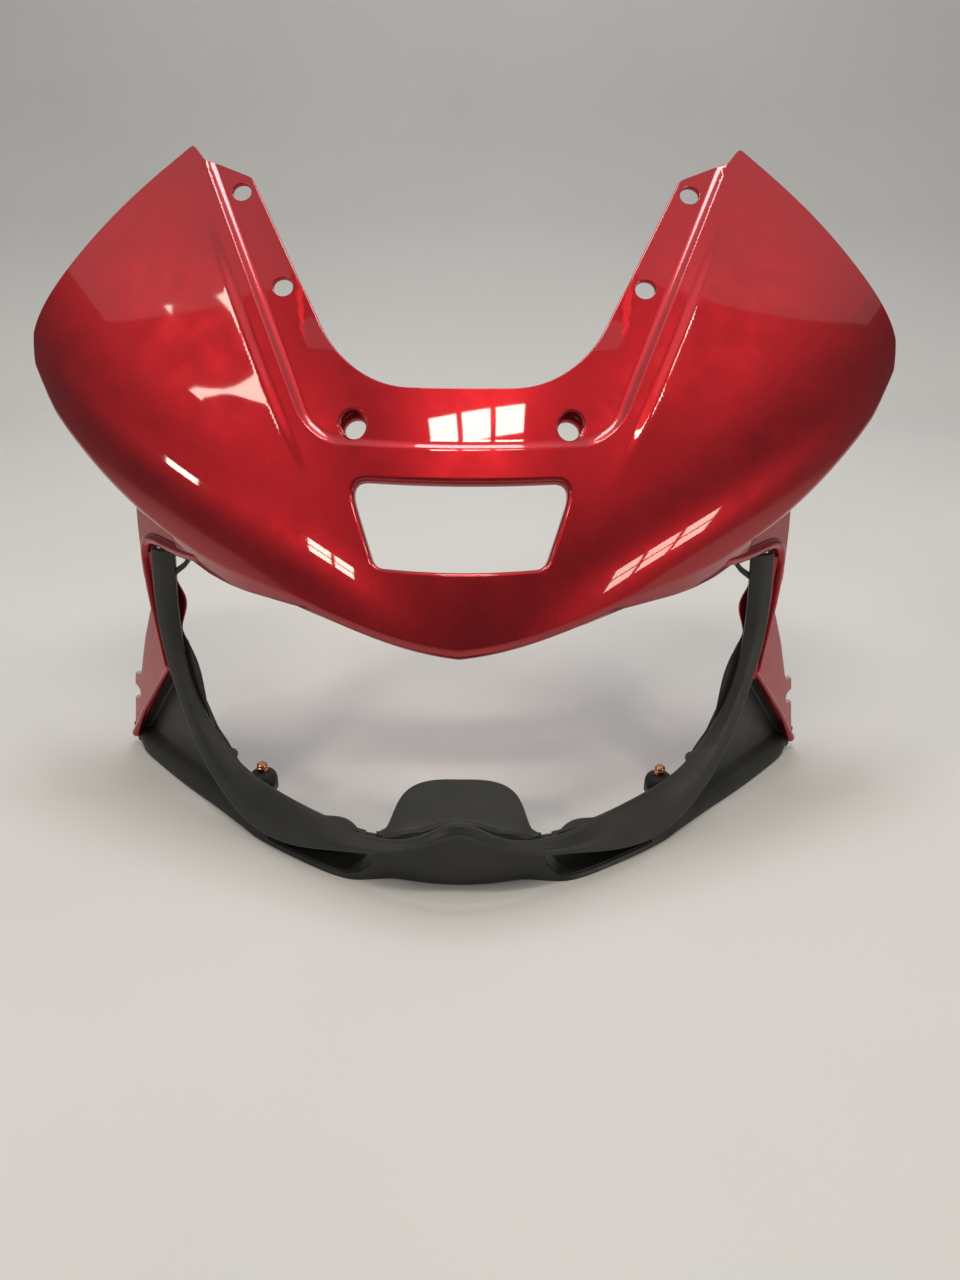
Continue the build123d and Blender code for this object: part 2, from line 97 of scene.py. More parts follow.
# Upper cowl's edge. By distance from the middle: the turn in degrees and the run of the return
# under the brow, and how far the edge hangs below the brow line
RETURN_R, EDGE_R = 6.7, 1.2
RETURN_X = (0, 60, 80, 95, 116, 129, 141, 154, 166, 178, 192, 214, 222, 300)
RETURN_TURN = (95, 88, 60, 34, 26, 25, 25, 25, 25, 28, 85, 92, 98, 98)
RETURN_RUN = (8, 6, 3, 4, 8, 11, 13, 14, 13, 13, 26, 28, 9, 8)
RETURN_OVER, RETURN_FADE, RETURN_SHARE, RETURN_BAND = 14, 40, 0.75, 12
HANG_X = (0, 75, 95, 116, 129, 141, 154, 175, 235, 252, 263, 271, 277, 281)
HANG = (0, 0.8, 0.4, 2.4, 4.0, 5.6, 6.8, 7, 7, 6.6, 5.6, 4.0, 2.0, 0)
HANG_FADE = 25

# Flank, the leg's inner edge over the skirt, the bead round the arch and the lip along the leg
CHIN_Y, FLANK_SWEEP, FLANK_ROUND, FLANK_LEAN = -10.0, 1.35, 165.0, 0.14
LEG_X, LEG_Z, LEG_SLOPE = 195.0, 75.0, 0.618
BEAD_R, BEAD_THIN, BEAD_THIN_FROM, BEAD_THIN_RUN = 3.9, 2.0, 0.45, 0.5
BEAD_BACK, BEAD_SINK, BEAD_SINK_X, BEAD_SINK_RUN = 0.8, 7.0, 163, 14
LIP_R, LIP_GROWTH, LIP_END, LIP_END_FROM, LIP_END_RUN = 1.7, 0.3, 1.1, 0.8, 0.2
LIP_BACK = 0.9

# Skirt: flare along the foot, fuller chin, undercut middle, hollow side triangles
SKIRT_BACK, SKIRT_EDGE, SKIRT_EDGE_LIP, SKIRT_EDGE_SLOT = 4.6, 2.9, 1.6, 1.7
LIP_X, LIP_SPREAD, LIP_TOP = 90, 100, 20
SLOT_IN, SLOT_OUT, SLOT_FADE, SLOT_TOP = 35, 128, 12, 5
FLARE, FLARE_MORE, FLARE_X, FLARE_SPREAD, FLARE_TALL = 1.5, 8.0, 90, 110, 8.0
CHIN, CHIN_X, CHIN_SPREAD, CHIN_END, CHIN_FADE, CHIN_TALL = 6.0, 38, 30, 120, 50, 14.0
UNDER, UNDER_X, UNDER_SPREAD, UNDER_Z, UNDER_TALL = 7.0, 30, 50, 24, 28
HOLLOW, HOLLOW_X, HOLLOW_SPREAD, HOLLOW_Z, HOLLOW_RISE = 12.0, 135, 25, 4.2, 4.6
HOLLOW_STOP, HOLLOW_CLOSE = 9, 10
DUCT_START, DUCT_END, DUCT_FALL, DUCT_T, DUCT_CLEAR = 1.5, 22.0, 0.6, 1.0, 0.3
CHIN_FLOOR_HALF, CHIN_FLOOR_END, CHIN_FLOOR_DEEP, CHIN_FLOOR_TAPER = 150, 3.0, 22.0, 34
CHIN_FLOOR_TOP, CHIN_FLOOR_GAP = FLOOR_Z + 3.0, 2.4
FOOT_CLEAR = 0.05

# Tongue, which starts as an arch, and tabs
TONGUE_Z, TONGUE_TILT, TONGUE_CROWN = 25.0, 0.12, 0.0006
TONGUE_HALF, TONGUE_GAP, TONGUE_ROOT = 50, 0.6, 10.4
ARCH_H, ARCH_HALF, ARCH_FADE = 14.0, 42.0, 13.0
TAB_TOP, TAB_IN, TAB_OUT, TAB_Z, TAB_GAP = 26.6, 54.6, 97, 24.0, 0.8

# Headlight surround: the rim's curves in the front view, from a strut's top to the peak
RIM_PROUD, RIM_T, RIM_WALL, RIM_CROWN, RIM_D = 8.0, 4.0, 3.0, 1.2, 7.4
RIM_EDGE_R, RIM_EDGE_SHARE, RIM_INNER_SHARE = 2.2, 0.22, 0.55
RIM_TURN, RIM_TURN_MORE, RIM_TURN_END, RIM_TURN_WIDE = -5.0, 11.0, 0.7, 18.0
RIM_COUNT = 161
RIM_OUTER = [
    (199.3, 156.5), (197.3, 101), (184, 61), (162.3, 25), (128.5, 5.5), (70, 16.5), (25, 29),
    (0, 37.5),
]
RIM_INNER = [
    (182.8, 156.5), (182, 100), (165.2, 57), (137, 33.5), (97, 28.8), (62, 26.8), (49, 27.8),
    (23, 34.8), (0, 45.8),
]

# Strips behind the struts: range along the rim, front, thickness, lap, distance of the inner edge
# from the rim's, and the height, place and half length of its lobe
LINER_BACK, LINER_T, LINER_LAP = 12.0, 3.0, 6.0
LINER_STRIP = ((0.02, 0.265), LINER_BACK, LINER_T, -LINER_LAP, 3.0, (5.5, 0.137, 0.055))
STRUT_STRIP = ((0.17, 0.40), 5.6, 2.4, 5.0, 1.5, (7.5, 0.285, 0.11))
LOBE_POWER = 1.4

# Screws and bosses, lamp rests
SCREWS = [(191.34, 126.06, 135.83), (184.79, 112.44, 92.12)]
BOSS_R = 4.0
SMALL_BOSS = (150.5, 86.0, 29.6)
REST_R, REST_T, REST_IN, REST_OUT = 8.8, 2.8, 24, 8
SEAT_D, SEAT_TOP_D, SEAT_H, SEAT_NECK = 18.0, 10.5, 7.0, 5.5
STUD_D, STUD_H = 7.0, 6.0

# Meshing: where an edge starts to roll, spacing of the rows and least gap, over the step
EDGE_START, ROW_STEP, FREE_GAP = 0.9, 0.866, 0.55
SLOPE_STEP, CUP_SLOPE_STEP = 0.15, 0.2
CHUNK = 4000


# Smooth steps, splines and outlines
def smooth(t):
    t = np.clip(t, 0.0, 1.0)
    return t * t * (3 - 2 * t)


def ease(value, start, spread):
    """0 up to the start, 1 past the spread, smooth between."""
    return smooth((value - start) / spread)


def lengths(points):
    """Distance of each point along the line."""
    return np.concatenate([[0], np.cumsum(np.linalg.norm(np.diff(points, axis=0), axis=1))])


def spline(points, count):
    """Natural cubic spline through the points, by chord length."""
    p = np.array(points, float)
    n = len(p)
    k = lengths(p)
    h = np.diff(k)
    a = np.zeros((n, n))
    b = np.zeros((n, p.shape[1]))
    a[0, 0] = a[-1, -1] = 1
    for i in range(1, n - 1):
        a[i, i - 1:i + 2] = h[i - 1], 2 * (h[i - 1] + h[i]), h[i]
        b[i] = 6 * ((p[i + 1] - p[i]) / h[i] - (p[i] - p[i - 1]) / h[i - 1])
    m = np.linalg.solve(a, b)
    s = np.linspace(0, k[-1], count)
    i = np.clip(np.searchsorted(k, s, side="right") - 1, 0, n - 2)
    u, w = (k[i + 1] - s)[:, None], (s - k[i])[:, None]
    g = h[i][:, None]
    return (
        m[i] * u ** 3 / (6 * g) + m[i + 1] * w ** 3 / (6 * g)
        + (p[i] / g - m[i] * g / 6) * u + (p[i + 1] / g - m[i + 1] * g / 6) * w
    )


def even(points, step, closed=False):
    """The same line with its points an even step apart."""
    p = np.array(points, float)
    if closed:
        p = np.vstack([p, p[:1]])
    k = lengths(p)
    n = max(int(round(k[-1] / step)), 2)
    s = np.linspace(0, k[-1], n + 1)
    q = np.stack([np.interp(s, k, p[:, i]) for i in range(p.shape[1])], axis=1)
    return q[:-1] if closed else q


def rounded(points, radius, parts=6):
    """A closed outline with rounded corners, all by one radius or each by its own."""
    p = [np.array(q, float) for q in points]
    radii = radius if isinstance(radius, (list, tuple)) else [radius] * len(p)
    most = 0.45
    out = []
    for i, q in enumerate(p):
        a, b = p[i - 1] - q, p[(i + 1) % len(p)] - q
        la, lb = np.linalg.norm(a), np.linalg.norm(b)
        a, b = a / la, b / lb
        half = math.acos(float(np.clip(a @ b, -1, 1))) / 2
        cut = min(radii[i] / max(math.tan(half), 1e-6), most * la, most * lb)
        start, end = q + a * cut, q + b * cut
        for t in np.linspace(0, 1, parts + 1):
            out.append((1 - t) ** 2 * start + 2 * t * (1 - t) * q + t * t * end)
    return np.array(out)


def mirrored(half):
    """A closed outline from its half at positive X, which starts and ends on the middle line."""
    half = np.array(half, float)
    return np.vstack([half, half[::-1][1:-1] * (-1, 1)])


def turned(points, side=1, inward=False):
    """A closed outline on one side of the middle, run anticlockwise, or clockwise for a hole."""
    points = np.array(points, float) * (side, 1)
    after = np.roll(points, -1, axis=0)
    area = np.sum(points[:, 0] * after[:, 1] - after[:, 0] * points[:, 1])
    return points if (area > 0) != inward else points[::-1]


def ellipse(x, z, rx, rz, n):
    """A hole's outline, clockwise."""
    a = -np.linspace(0, 2 * np.pi, n, endpoint=False)
    return np.stack([x + rx * np.cos(a), z + rz * np.sin(a)], axis=1)


# Depth of each skin over the front view
def ridge_x(z):
    t = (z - RIDGE_FOOT_Z) / (RIDGE_TOP_Z - RIDGE_FOOT_Z)
    return RIDGE_FOOT_X + (RIDGE_TOP_X - RIDGE_FOOT_X) * t + RIDGE_BULGE * np.sin(np.pi * t)


def brow_z(x):
    rise = BROW_SLOPE * (np.hypot(x, BROW_ROUND) - BROW_ROUND)
    return BEAK_Z + rise + BROW_LIFT * (np.abs(x) / WING_HALF) ** BROW_POWER


def skin_y(x, z):
    sweep = WING_SWEEP + NOSE_SWEEP * np.exp(-(z - BEAK_Z) / SWEEP_FADE)
    roll = BROW_ROLL * (2 / (1 + np.exp((z - brow_z(x)) / BROW_FADE)) - 1)
    return BEAK_Y + RAKE * (z - BEAK_Z) + sweep * (np.hypot(x, NOSE_ROUND) - NOSE_ROUND) + roll


def ridge_height(x, z):
    d = np.abs(x) - ridge_x(z)
    inner = np.clip(1 + d / RIDGE_BAND, -2, 2)
    outer = np.clip(1 - d / RIDGE_FADE, 0, 2) ** 1.5
    crest = -RIDGE_SOFT * np.log(np.exp(-inner / RIDGE_SOFT) + np.exp(-outer / RIDGE_SOFT))
    crest = RIDGE_SOFT * np.log(1 + np.exp(crest / RIDGE_SOFT))
    run = np.minimum(z - RIDGE_FOOT_Z, RIDGE_TOP_Z - z) / RIDGE_RISE
    return RIDGE_H * smooth(run) * np.clip(crest, 0, 1)


def ledge_depth_in(x, z):
    """How far a point lies inside the windscreen ledge's outline."""
    low = z - LEDGE_Z
    side = (LEDGE_HALF + LEDGE_SLOPE * (z - LEDGE_Z) - np.abs(x)) / LEDGE_LEAN
    off_low, off_side = np.clip(LEDGE_R - low, 0, None), np.clip(LEDGE_R - side, 0, None)
    corner = LEDGE_R - np.hypot(off_low, off_side)
    return np.where((low < LEDGE_R) & (side < LEDGE_R), corner, np.minimum(low, side))


def ledge_drop(x, z):
    """The ledge lies deep along its sides and only just below the skin above the vent."""
    low = 1 / (1 + np.exp((z - LEDGE_DEEP_Z) / LEDGE_BLEND))
    inner = 1 / (1 + np.exp((np.abs(x) - LEDGE_DEEP_X) / LEDGE_BLEND))
    full = LEDGE_DROP - (LEDGE_DROP - LEDGE_FOOT_DROP) * low * inner
    s = ledge_depth_in(x, z)
    s = STEP_SOFT * np.log1p(np.exp(np.clip(s / STEP_SOFT, -40, 40)))
    run = STEP_RUN + STEP_GROWTH * full
    return full * (1 - (1 - np.clip(s / run, 0, 1)) ** 2)


def dart_drop(x, z):
    """A small dart beside each middle screw hole that lowers the ledge towards the cut-out."""
    s = np.clip((z - DART_LOW[1]) / (DART_HIGH[1] - DART_LOW[1]), 0, 1.5)
    outer = DART_LOW[0] + (DART_HIGH[0] - DART_LOW[0]) * s ** DART_BEND
    inner = DART_LOW[0] + DART_INNER * (DART_HIGH[0] - DART_LOW[0]) * s
    across = (outer - np.abs(x)) / np.maximum(outer - inner, DART_LEAST)
    return DART_DROP * smooth(s / DART_RISE) * smooth(across)


def cowl_y(x, z):
    return skin_y(x, z) - ridge_height(x, z) + ledge_drop(x, z) + dart_drop(x, z)


def flank_y(x, z):
    return CHIN_Y + FLANK_SWEEP * (np.hypot(x, FLANK_ROUND) - FLANK_ROUND) + FLANK_LEAN * z


def leg_x(z):
    """The leg's inner edge over the skirt."""
    return LEG_X + LEG_SLOPE * (LEG_Z - z)


def skirt_y(x, z):
    ax, up = np.abs(x), z - FLOOR_Z
    flare = (FLARE + FLARE_MORE * ease(ax, FLARE_X, FLARE_SPREAD)) * np.exp(-up / FLARE_TALL)
    chin = ease(ax, CHIN_X, CHIN_SPREAD) * (1 - ease(ax, CHIN_END, CHIN_FADE))
    flare = flare + CHIN * chin * np.exp(-up / CHIN_TALL)
    middle = 1 - ease(ax, UNDER_X, UNDER_SPREAD)
    under = UNDER * middle * np.clip((UNDER_Z - z) / UNDER_TALL, 0, 1) ** 2
    hollow = HOLLOW * ease(ax, HOLLOW_X, HOLLOW_SPREAD) * ease(z, HOLLOW_Z, HOLLOW_RISE)
    hollow = hollow * (1 - smooth((ax - leg_x(z) + HOLLOW_STOP) / HOLLOW_CLOSE))
    return flank_y(x, z) + SKIRT_BACK - flare + under + hollow


def level(value):
    """A flat skin."""
    return lambda x, z: value + 0 * x


def slopes(depth, x, z, e):
    fx = (depth(x + e, z) - depth(x - e, z)) / (2 * e)
    fz = (depth(x, z + e) - depth(x, z - e)) / (2 * e)
    return fx, fz


# Mesh building
class Build:
    """Collects vertices and faces of one piece in millimetres."""

    def __init__(self):
        self.verts = []
        self.normals = []
        self.faces = []
        self.count = 0

    def add(self, points, normals=None):
        points = np.asarray(points, float).reshape(-1, 3)
        self.verts.append(points)
        self.normals.append(np.zeros_like(points) if normals is None else normals)
        start = self.count
        self.count += len(points)
        return start

    def ring_strip(self, a, b, n, flip=False):
        for i in range(n):
            j = (i + 1) % n
            quad = (a + i, a + j, b + j, b + i)
            self.faces.append(quad[::-1] if flip else quad)

    def caps(self, first, last, n):
        self.faces.append(tuple(range(first, first + n))[::-1])
        self.faces.append(tuple(range(last, last + n)))

    def object(self, name, material, sharp=35.0):
        mesh = bpy.data.meshes.new(name)
        points = (np.vstack(self.verts) + SHIFT) * MM
        mesh.from_pydata(points.tolist(), [], self.faces)
        mesh.validate()
        mesh.materials.append(material)
        mesh.polygons.foreach_set("use_smooth", [True] * len(mesh.polygons))
        mesh.set_sharp_from_angle(angle=math.radians(sharp))
        corners = np.zeros(len(mesh.loops), int)
        mesh.loops.foreach_get("vertex_index", corners)
        mesh.normals_split_custom_set(np.vstack(self.normals)[corners].tolist())
        obj = bpy.data.objects.new(name, mesh)
        bpy.context.collection.objects.link(obj)
        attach(obj, "root")
        return obj


def inside(points, loop):
    x, z = points[:, 0][:, None], points[:, 1][:, None]
    a, b = loop, np.roll(loop, -1, axis=0)
    result = np.zeros(len(points), bool)
    for k in range(0, len(points), CHUNK):
        s = slice(k, k + CHUNK)
        cross = (a[:, 1] > z[s]) != (b[:, 1] > z[s])
        rise = np.where(b[:, 1] == a[:, 1], 1e-9, b[:, 1] - a[:, 1])
        at = (b[:, 0] - a[:, 0]) * (z[s] - a[:, 1]) / rise + a[:, 0]
        result[s] = (np.sum(cross & (x[s] < at), axis=1) % 2) == 1
    return result


def within(points, loops):
    """Which points lie inside the first loop and outside the others."""
    keep = inside(points, loops[0])
    for hole in loops[1:]:
        keep &= ~inside(points, hole)
    return keep


def apart(points, others, gap):
    """Keep the points that lie further than the gap from all the others."""
    tree = KDTree(len(others))
    for i, q in enumerate(others):
        tree.insert((q[0], q[1], 0.0), i)
    tree.balance()
    keep = [tree.find((p[0], p[1], 0.0))[2] > gap for p in points]
    return points[np.array(keep, bool)]


def outward(loop):
    """Unit normals of a closed outline, away from the face when the outline runs anticlockwise."""
    t = np.roll(loop, -1, axis=0) - np.roll(loop, 1, axis=0)
    n = np.stack([t[:, 1], -t[:, 0]], axis=1)
    return n / np.linalg.norm(n, axis=1)[:, None]


def inset(loop):
    """A loop's points moved in to where its edge starts to roll."""
    points, rolls = loop
    return points - outward(points) * np.array([r[0] for r in rolls])[:, None] * EDGE_START


def plain_edge(points, radius):
    return points, [(radius, 0.0, 0.0, 0.0)] * len(points)


def rolled_edge(points, radius, run):
    return points, [(radius, run, math.radians(90), 1.0)] * len(points)


def bend(radius, angles):
    return [(radius * math.sin(f), radius * (1 - math.cos(f))) for f in angles]


def edge_profile(radius, run, turn, roll, thick):
    """Section of an edge, from a plain rounded one to one rolled back into a return."""
    cut = bend(radius, np.linspace(0, QUARTER, 7)[1:])
    back = min(0.5, 0.3 * thick)
    cut += [(radius, radius + (thick - back - radius) * k) for k in (0.3, 0.6, 0.9)]
    cut += [
        (radius - back + back * math.cos(f), thick - back + back * math.sin(f))
        for f in np.linspace(0, QUARTER, 6)
    ]
    if roll == 0:
        return cut
    out = bend(radius, np.linspace(0, turn, 7)[1:])
    ahead = np.array([math.cos(turn), math.sin(turn)])
    inward = np.array([-math.sin(turn), math.cos(turn)])
    end = np.array(out[-1]) + ahead * run
    out.append(tuple(end - ahead * run * 0.5))
    middle = end + inward * thick / 2
    for f in np.linspace(0, math.pi, 5):
        spot = middle - inward * math.cos(f) * thick / 2 + ahead * math.sin(f) * thick / 2
        out.append(tuple(spot))
    small = max(radius - thick, 0.05)
    for f in np.linspace(turn, 0, 4)[:-1]:
        out.append((small * math.sin(f), radius - small * math.cos(f)))
    return (1 - roll) * np.array(cut) + roll * np.array(out)


def fill(insets, lines, step):
    """Points and triangles over the first outline, without the holes in it."""
    fixed = np.vstack([*insets, *lines])
    low, high = insets[0].min(axis=0), insets[0].max(axis=0)
    cols = np.arange(low[0], high[0], step)
    rows = np.arange(low[1], high[1], step * ROW_STEP)
    grid = np.array([(x + (k % 2) * step / 2, z) for k, z in enumerate(rows) for x in cols])
    grid = apart(grid[within(grid, insets)], fixed, step * FREE_GAP)
    flat = np.vstack([fixed, grid])
    edges, base = [], 0
    for loop in insets:
        n = len(loop)
        edges += [(base + i, base + (i + 1) % n) for i in range(n)]
        base += n
    coords, _, tris, *_ = delaunay_2d_cdt([Vector(p) for p in flat], edges, [], 0, 1e-6)
    flat = np.array([tuple(c) for c in coords])
    tris = np.array([t for t in tris if len(t) == 3])
    return flat, tris[within(flat[tris].mean(axis=1), insets)]


def shell(build, depth, loops, thick, step, lines=(), plan=False):
    """A moulded skin: front face, back face and rolled edges.

    Each loop is (points, rolls): the outer edge anticlockwise, holes clockwise, with one
    (radius, run, turn, roll) edge per point. A plan skin has depth as a height over (x, y).
    """
    insets = [inset(loop) for loop in loops]
    flat, tris = fill(insets, lines, step)
    order, sign = ([0, 2, 1], -1.0) if plan else ([0, 1, 2], 1.0)
    x, z = flat[:, 0], flat[:, 1]
    fx, fz = slopes(depth, x, z, SLOPE_STEP)
    length = np.sqrt(fx ** 2 + fz ** 2 + 1)
    front = np.stack([x, depth(x, z), z], axis=1)[:, order]
    normal = sign * np.stack([fx, -np.ones_like(fx), fz], axis=1)[:, order] / length[:, None]
    f0 = build.add(front, normal)
    b0 = build.add(front - normal * thick, -normal)
    a, b, c = flat[tris[:, 0]], flat[tris[:, 1]], flat[tris[:, 2]]
    ab, ac = b - a, c - a
    turn = ab[:, 0] * ac[:, 1] - ab[:, 1] * ac[:, 0]
    for t, s in zip(tris.tolist(), turn):
        t = t if s > 0 else t[::-1]
        build.faces.append(tuple(f0 + i for i in t))
        build.faces.append(tuple(b0 + i for i in reversed(t)))
    base = 0
    for (_, rolls), loop in zip(loops, insets):
        n = len(loop)
        ids = np.arange(base, base + n)
        base += n
        way = outward(loop)
        slope = fx[ids] * way[:, 0] + fz[ids] * way[:, 1]
        along = np.stack([way[:, 0], slope, way[:, 1]], axis=1)[:, order]
        along /= np.linalg.norm(along, axis=1)[:, None]
        profile = np.array([edge_profile(*roll, thick) for roll in rolls])
        previous = f0 + ids[0]
        ends = np.zeros((n, 1, 2))
        path = np.concatenate([ends, profile, ends + (0, thick)], axis=1)
        for k in range(profile.shape[1]):
            u, v = profile[:, k, 0][:, None], profile[:, k, 1][:, None]
            way_on = path[:, k + 2] - path[:, k]
            facing = way_on[:, 1][:, None] * along + way_on[:, 0][:, None] * normal[ids]
            facing /= np.maximum(np.linalg.norm(facing, axis=1)[:, None], 1e-9)
            ring = build.add(front[ids] + u * along - v * normal[ids], facing)
            build.ring_strip(previous, ring, n, flip=True)
            previous = ring
        build.ring_strip(previous, b0 + ids[0], n, flip=True)


def loop_of_rings(build, rings, n, flip=False):
    """Join rings of equal length one after the other, and the last to the first."""
    for a, b in zip(rings, rings[1:] + rings[:1]):
        build.ring_strip(a, b, n, flip=flip)


def lathe(build, centre, profile, sides=40, axis="z"):
    """Turn a profile of (radius, height) about a line through the centre."""
    rings = []
    angle = np.linspace(0, 2 * np.pi, sides, endpoint=False)
    for r, h in profile:
        c, s = r * np.cos(angle), r * np.sin(angle)
        flat = np.full(sides, h)
        ring = np.stack([c, s, flat] if axis == "z" else [c, flat, -s], axis=1)
        rings.append(build.add(np.array(centre) + ring))
    for a, b in zip(rings, rings[1:]):
        build.ring_strip(a, b, sides)
    build.caps(rings[0], rings[-1], sides)


def loft(build, sections):
    """Join closed sections of equal length, given as arrays of points."""
    n = len(sections[0])
    starts = [build.add(s) for s in sections]
    for a, b in zip(starts, starts[1:]):
        build.ring_strip(a, b, n)
    build.caps(starts[0], starts[-1], n)


def tube(build, path, radii, sides=20):
    """A round tube along a path, closed with domes."""
    path = np.array(path, float)
    tangent = np.gradient(path, axis=0)
    tangent /= np.linalg.norm(tangent, axis=1)[:, None]
    up = np.array([0.0, -1.0, 0.0])
    angle = np.linspace(0, 2 * np.pi, sides, endpoint=False)
    sections = []
    spots = [(0, -1.0), (0, -0.7), *[(i, 0.0) for i in range(len(path))], (-1, 0.7), (-1, 1.0)]
    for i, dome in spots:
        t = tangent[i]
        a = np.cross(t, up)
        a /= np.linalg.norm(a)
        b = np.cross(t, a)
        r = radii[i] * max(math.sqrt(1 - dome * dome), 0.05)
        centre = path[i] + t * radii[i] * dome
        sections.append(centre + r * (np.cos(angle)[:, None] * a + np.sin(angle)[:, None] * b))
    loft(build, sections)


# Headlight surround: the band between two curves, with its depth behind the front face
def full_curve(points):
    half = np.array(points, float)
    return spline(np.vstack([half, half[::-1][1:] * (-1, 1)]), 601)


OUTER_LINE = even(full_curve(RIM_OUTER), 1.0)
INNER_LINE = even(full_curve(RIM_INNER), 1.0)


def rim_points(t):
    """Outer and inner point at t: 0 at the left strut's top, 1 in the middle, 2 at the right's."""
    s = np.asarray(t) / 2
    spots = []
    for line in (OUTER_LINE, INNER_LINE):
        k = np.linspace(0, 1, len(line))
        spots.append(np.stack([np.interp(s, k, line[:, i]) for i in range(2)], axis=-1))
    return spots


def rim_spot(t, across, back):
    outer, inner = rim_points(t)
    wide = np.linalg.norm(inner - outer)
    spot = outer + (inner - outer) * across / wide
    share = min(min(t, 2 - t) / RIM_TURN_END, 1.0)
    turn = (RIM_TURN + RIM_TURN_MORE * share) / RIM_TURN_WIDE
    y = flank_y(outer[0], outer[1]) - RIM_PROUD + turn * across + back
    return np.array([spot[0], y, spot[1]])


def rim_wide(t):
    outer, inner = rim_points(t)
    return float(np.linalg.norm(inner - outer))


def rim_section(t):
    w, d = rim_wide(t), RIM_D
    r = min(RIM_EDGE_R, w * RIM_EDGE_SHARE)
    spots = [(0, d), (0, d * 0.55), (0, r)]
    spots += [(r - r * math.cos(f), r - r * math.sin(f)) for f in np.linspace(0.35, QUARTER, 4)]
    for k in np.linspace(0.15, 0.85, 7):
        spots.append((r + (w - 2 * r) * k, -RIM_CROWN * math.sin(math.pi * k)))
    r2 = r * RIM_INNER_SHARE
    spots += [
        (w - r2 + r2 * math.sin(f), r2 - r2 * math.cos(f)) for f in np.linspace(0, QUARTER, 4)
    ]
    wall = min(RIM_WALL, 0.35 * w)
    spots += [(w, RIM_T - 1.0), (w - 0.3, RIM_T - 0.3), (w - 1.0, RIM_T)]
    spots += [(wall + 0.5, RIM_T), (wall, RIM_T + 0.5), (wall, d)]
    return np.array([rim_spot(t, a, b) for a, b in spots])


# Materials
BUMP_DEPTH = 0.0002


def principled(name, **sockets):
    material = bpy.data.materials.new(name)
    material.use_nodes = True
    shader = material.node_tree.nodes["Principled BSDF"]
    for key, value in sockets.items():
        socket = key.replace("_", " ").title().replace("Ior", "IOR")
        shader.inputs[socket].default_value = value
    return material, shader


def noise(material, scale, detail=2.0):
    nodes, links = material.node_tree.nodes, material.node_tree.links
    place = nodes.new("ShaderNodeTexCoord")
    texture = nodes.new("ShaderNodeTexNoise")
    texture.inputs["Scale"].default_value = scale
    texture.inputs["Detail"].default_value = detail
    links.new(place.outputs["Object"], texture.inputs["Vector"])
    return texture.outputs["Fac"]


def ramp(material, factor, stops):
    nodes, links = material.node_tree.nodes, material.node_tree.links
    node = nodes.new("ShaderNodeValToRGB")
    node.color_ramp.elements[0].position, node.color_ramp.elements[0].color = stops[0]
    node.color_ramp.elements[1].position, node.color_ramp.elements[1].color = stops[-1]
    for position, tone in stops[1:-1]:
        node.color_ramp.elements.new(position).color = tone
    links.new(factor, node.inputs["Fac"])
    return node.outputs["Color"]


def varied(material, shader, socket, texture, stops):
    """Drive a socket by a noise of (scale, detail) through a ramp."""
    value = ramp(material, noise(material, *texture), stops)
    material.node_tree.links.new(value, shader.inputs[socket])


def bump(material, shader, texture, strength):
    nodes, links = material.node_tree.nodes, material.node_tree.links
    height = noise(material, *texture)
    node = nodes.new("ShaderNodeBump")
    node.inputs["Distance"].default_value = BUMP_DEPTH
    node.inputs["Strength"].default_value = strength
    links.new(height, node.inputs["Height"])
    links.new(node.outputs["Normal"], shader.inputs["Normal"])


def colour(*rgb):
    return (*rgb, 1.0)


def grey(v):
    return colour(v, v, v)


def rough(material, shader, texture, low, high):
    varied(material, shader, "Roughness", texture, [(0.3, grey(low)), (0.7, grey(high))])


def red_paint():
    """Deep red over fine flakes, under clear lacquer."""
    m, s = principled(
        "red_paint", metallic=0.85, coat_weight=1.0, coat_roughness=0.03, coat_ior=1.5
    )
    flakes = [
        (0.30, colour(0.30, 0.002, 0.006)),
        (0.55, colour(0.40, 0.003, 0.009)),
        (0.72, colour(0.50, 0.006, 0.015)),
    ]
    varied(m, s, "Base Color", (2600.0, 1.0), flakes)
    rough(m, s, (60.0, 4.0), 0.34, 0.44)
    bump(m, s, (420.0, 1.0), 0.05)
    return m


def black_plastic():
    """Satin moulded plastic with a fine grain."""
    m, s = principled("black_plastic", specular_ior_level=0.45)
    tones = [(0.3, colour(0.022, 0.023, 0.021)), (0.7, colour(0.034, 0.035, 0.031))]
    varied(m, s, "Base Color", (35.0, 5.0), tones)
    rough(m, s, (90.0, 4.0), 0.36, 0.48)
    bump(m, s, (1500.0, 2.0), 0.25)
    return m


def seat_rubber():
    m, s = principled("seat_rubber", specular_ior_level=0.35)
    tones = [(0.3, colour(0.012, 0.012, 0.013)), (0.75, colour(0.028, 0.028, 0.029))]
    varied(m, s, "Base Color", (120.0, 4.0), tones)
    rough(m, s, (200.0,), 0.5, 0.65)
    bump(m, s, (900.0, 2.0), 0.2)
    return m


def stud_metal():
    m, s = principled("stud_metal", metallic=1.0)
    tones = [(0.3, colour(0.62, 0.27, 0.13)), (0.7, colour(0.82, 0.46, 0.28))]
    varied(m, s, "Base Color", (300.0, 4.0), tones)
    rough(m, s, (500.0,), 0.18, 0.32)
    return m


def screw_steel():
    m, s = principled("screw_steel", metallic=1.0)
    tones = [(0.3, colour(0.36, 0.36, 0.35)), (0.7, colour(0.56, 0.56, 0.55))]
    varied(m, s, "Base Color", (250.0, 4.0), tones)
    rough(m, s, (400.0,), 0.25, 0.4)
    return m


RED, BLACK = red_paint(), black_plastic()
RUBBER, BRASS, STEEL = seat_rubber(), stud_metal(), screw_steel()


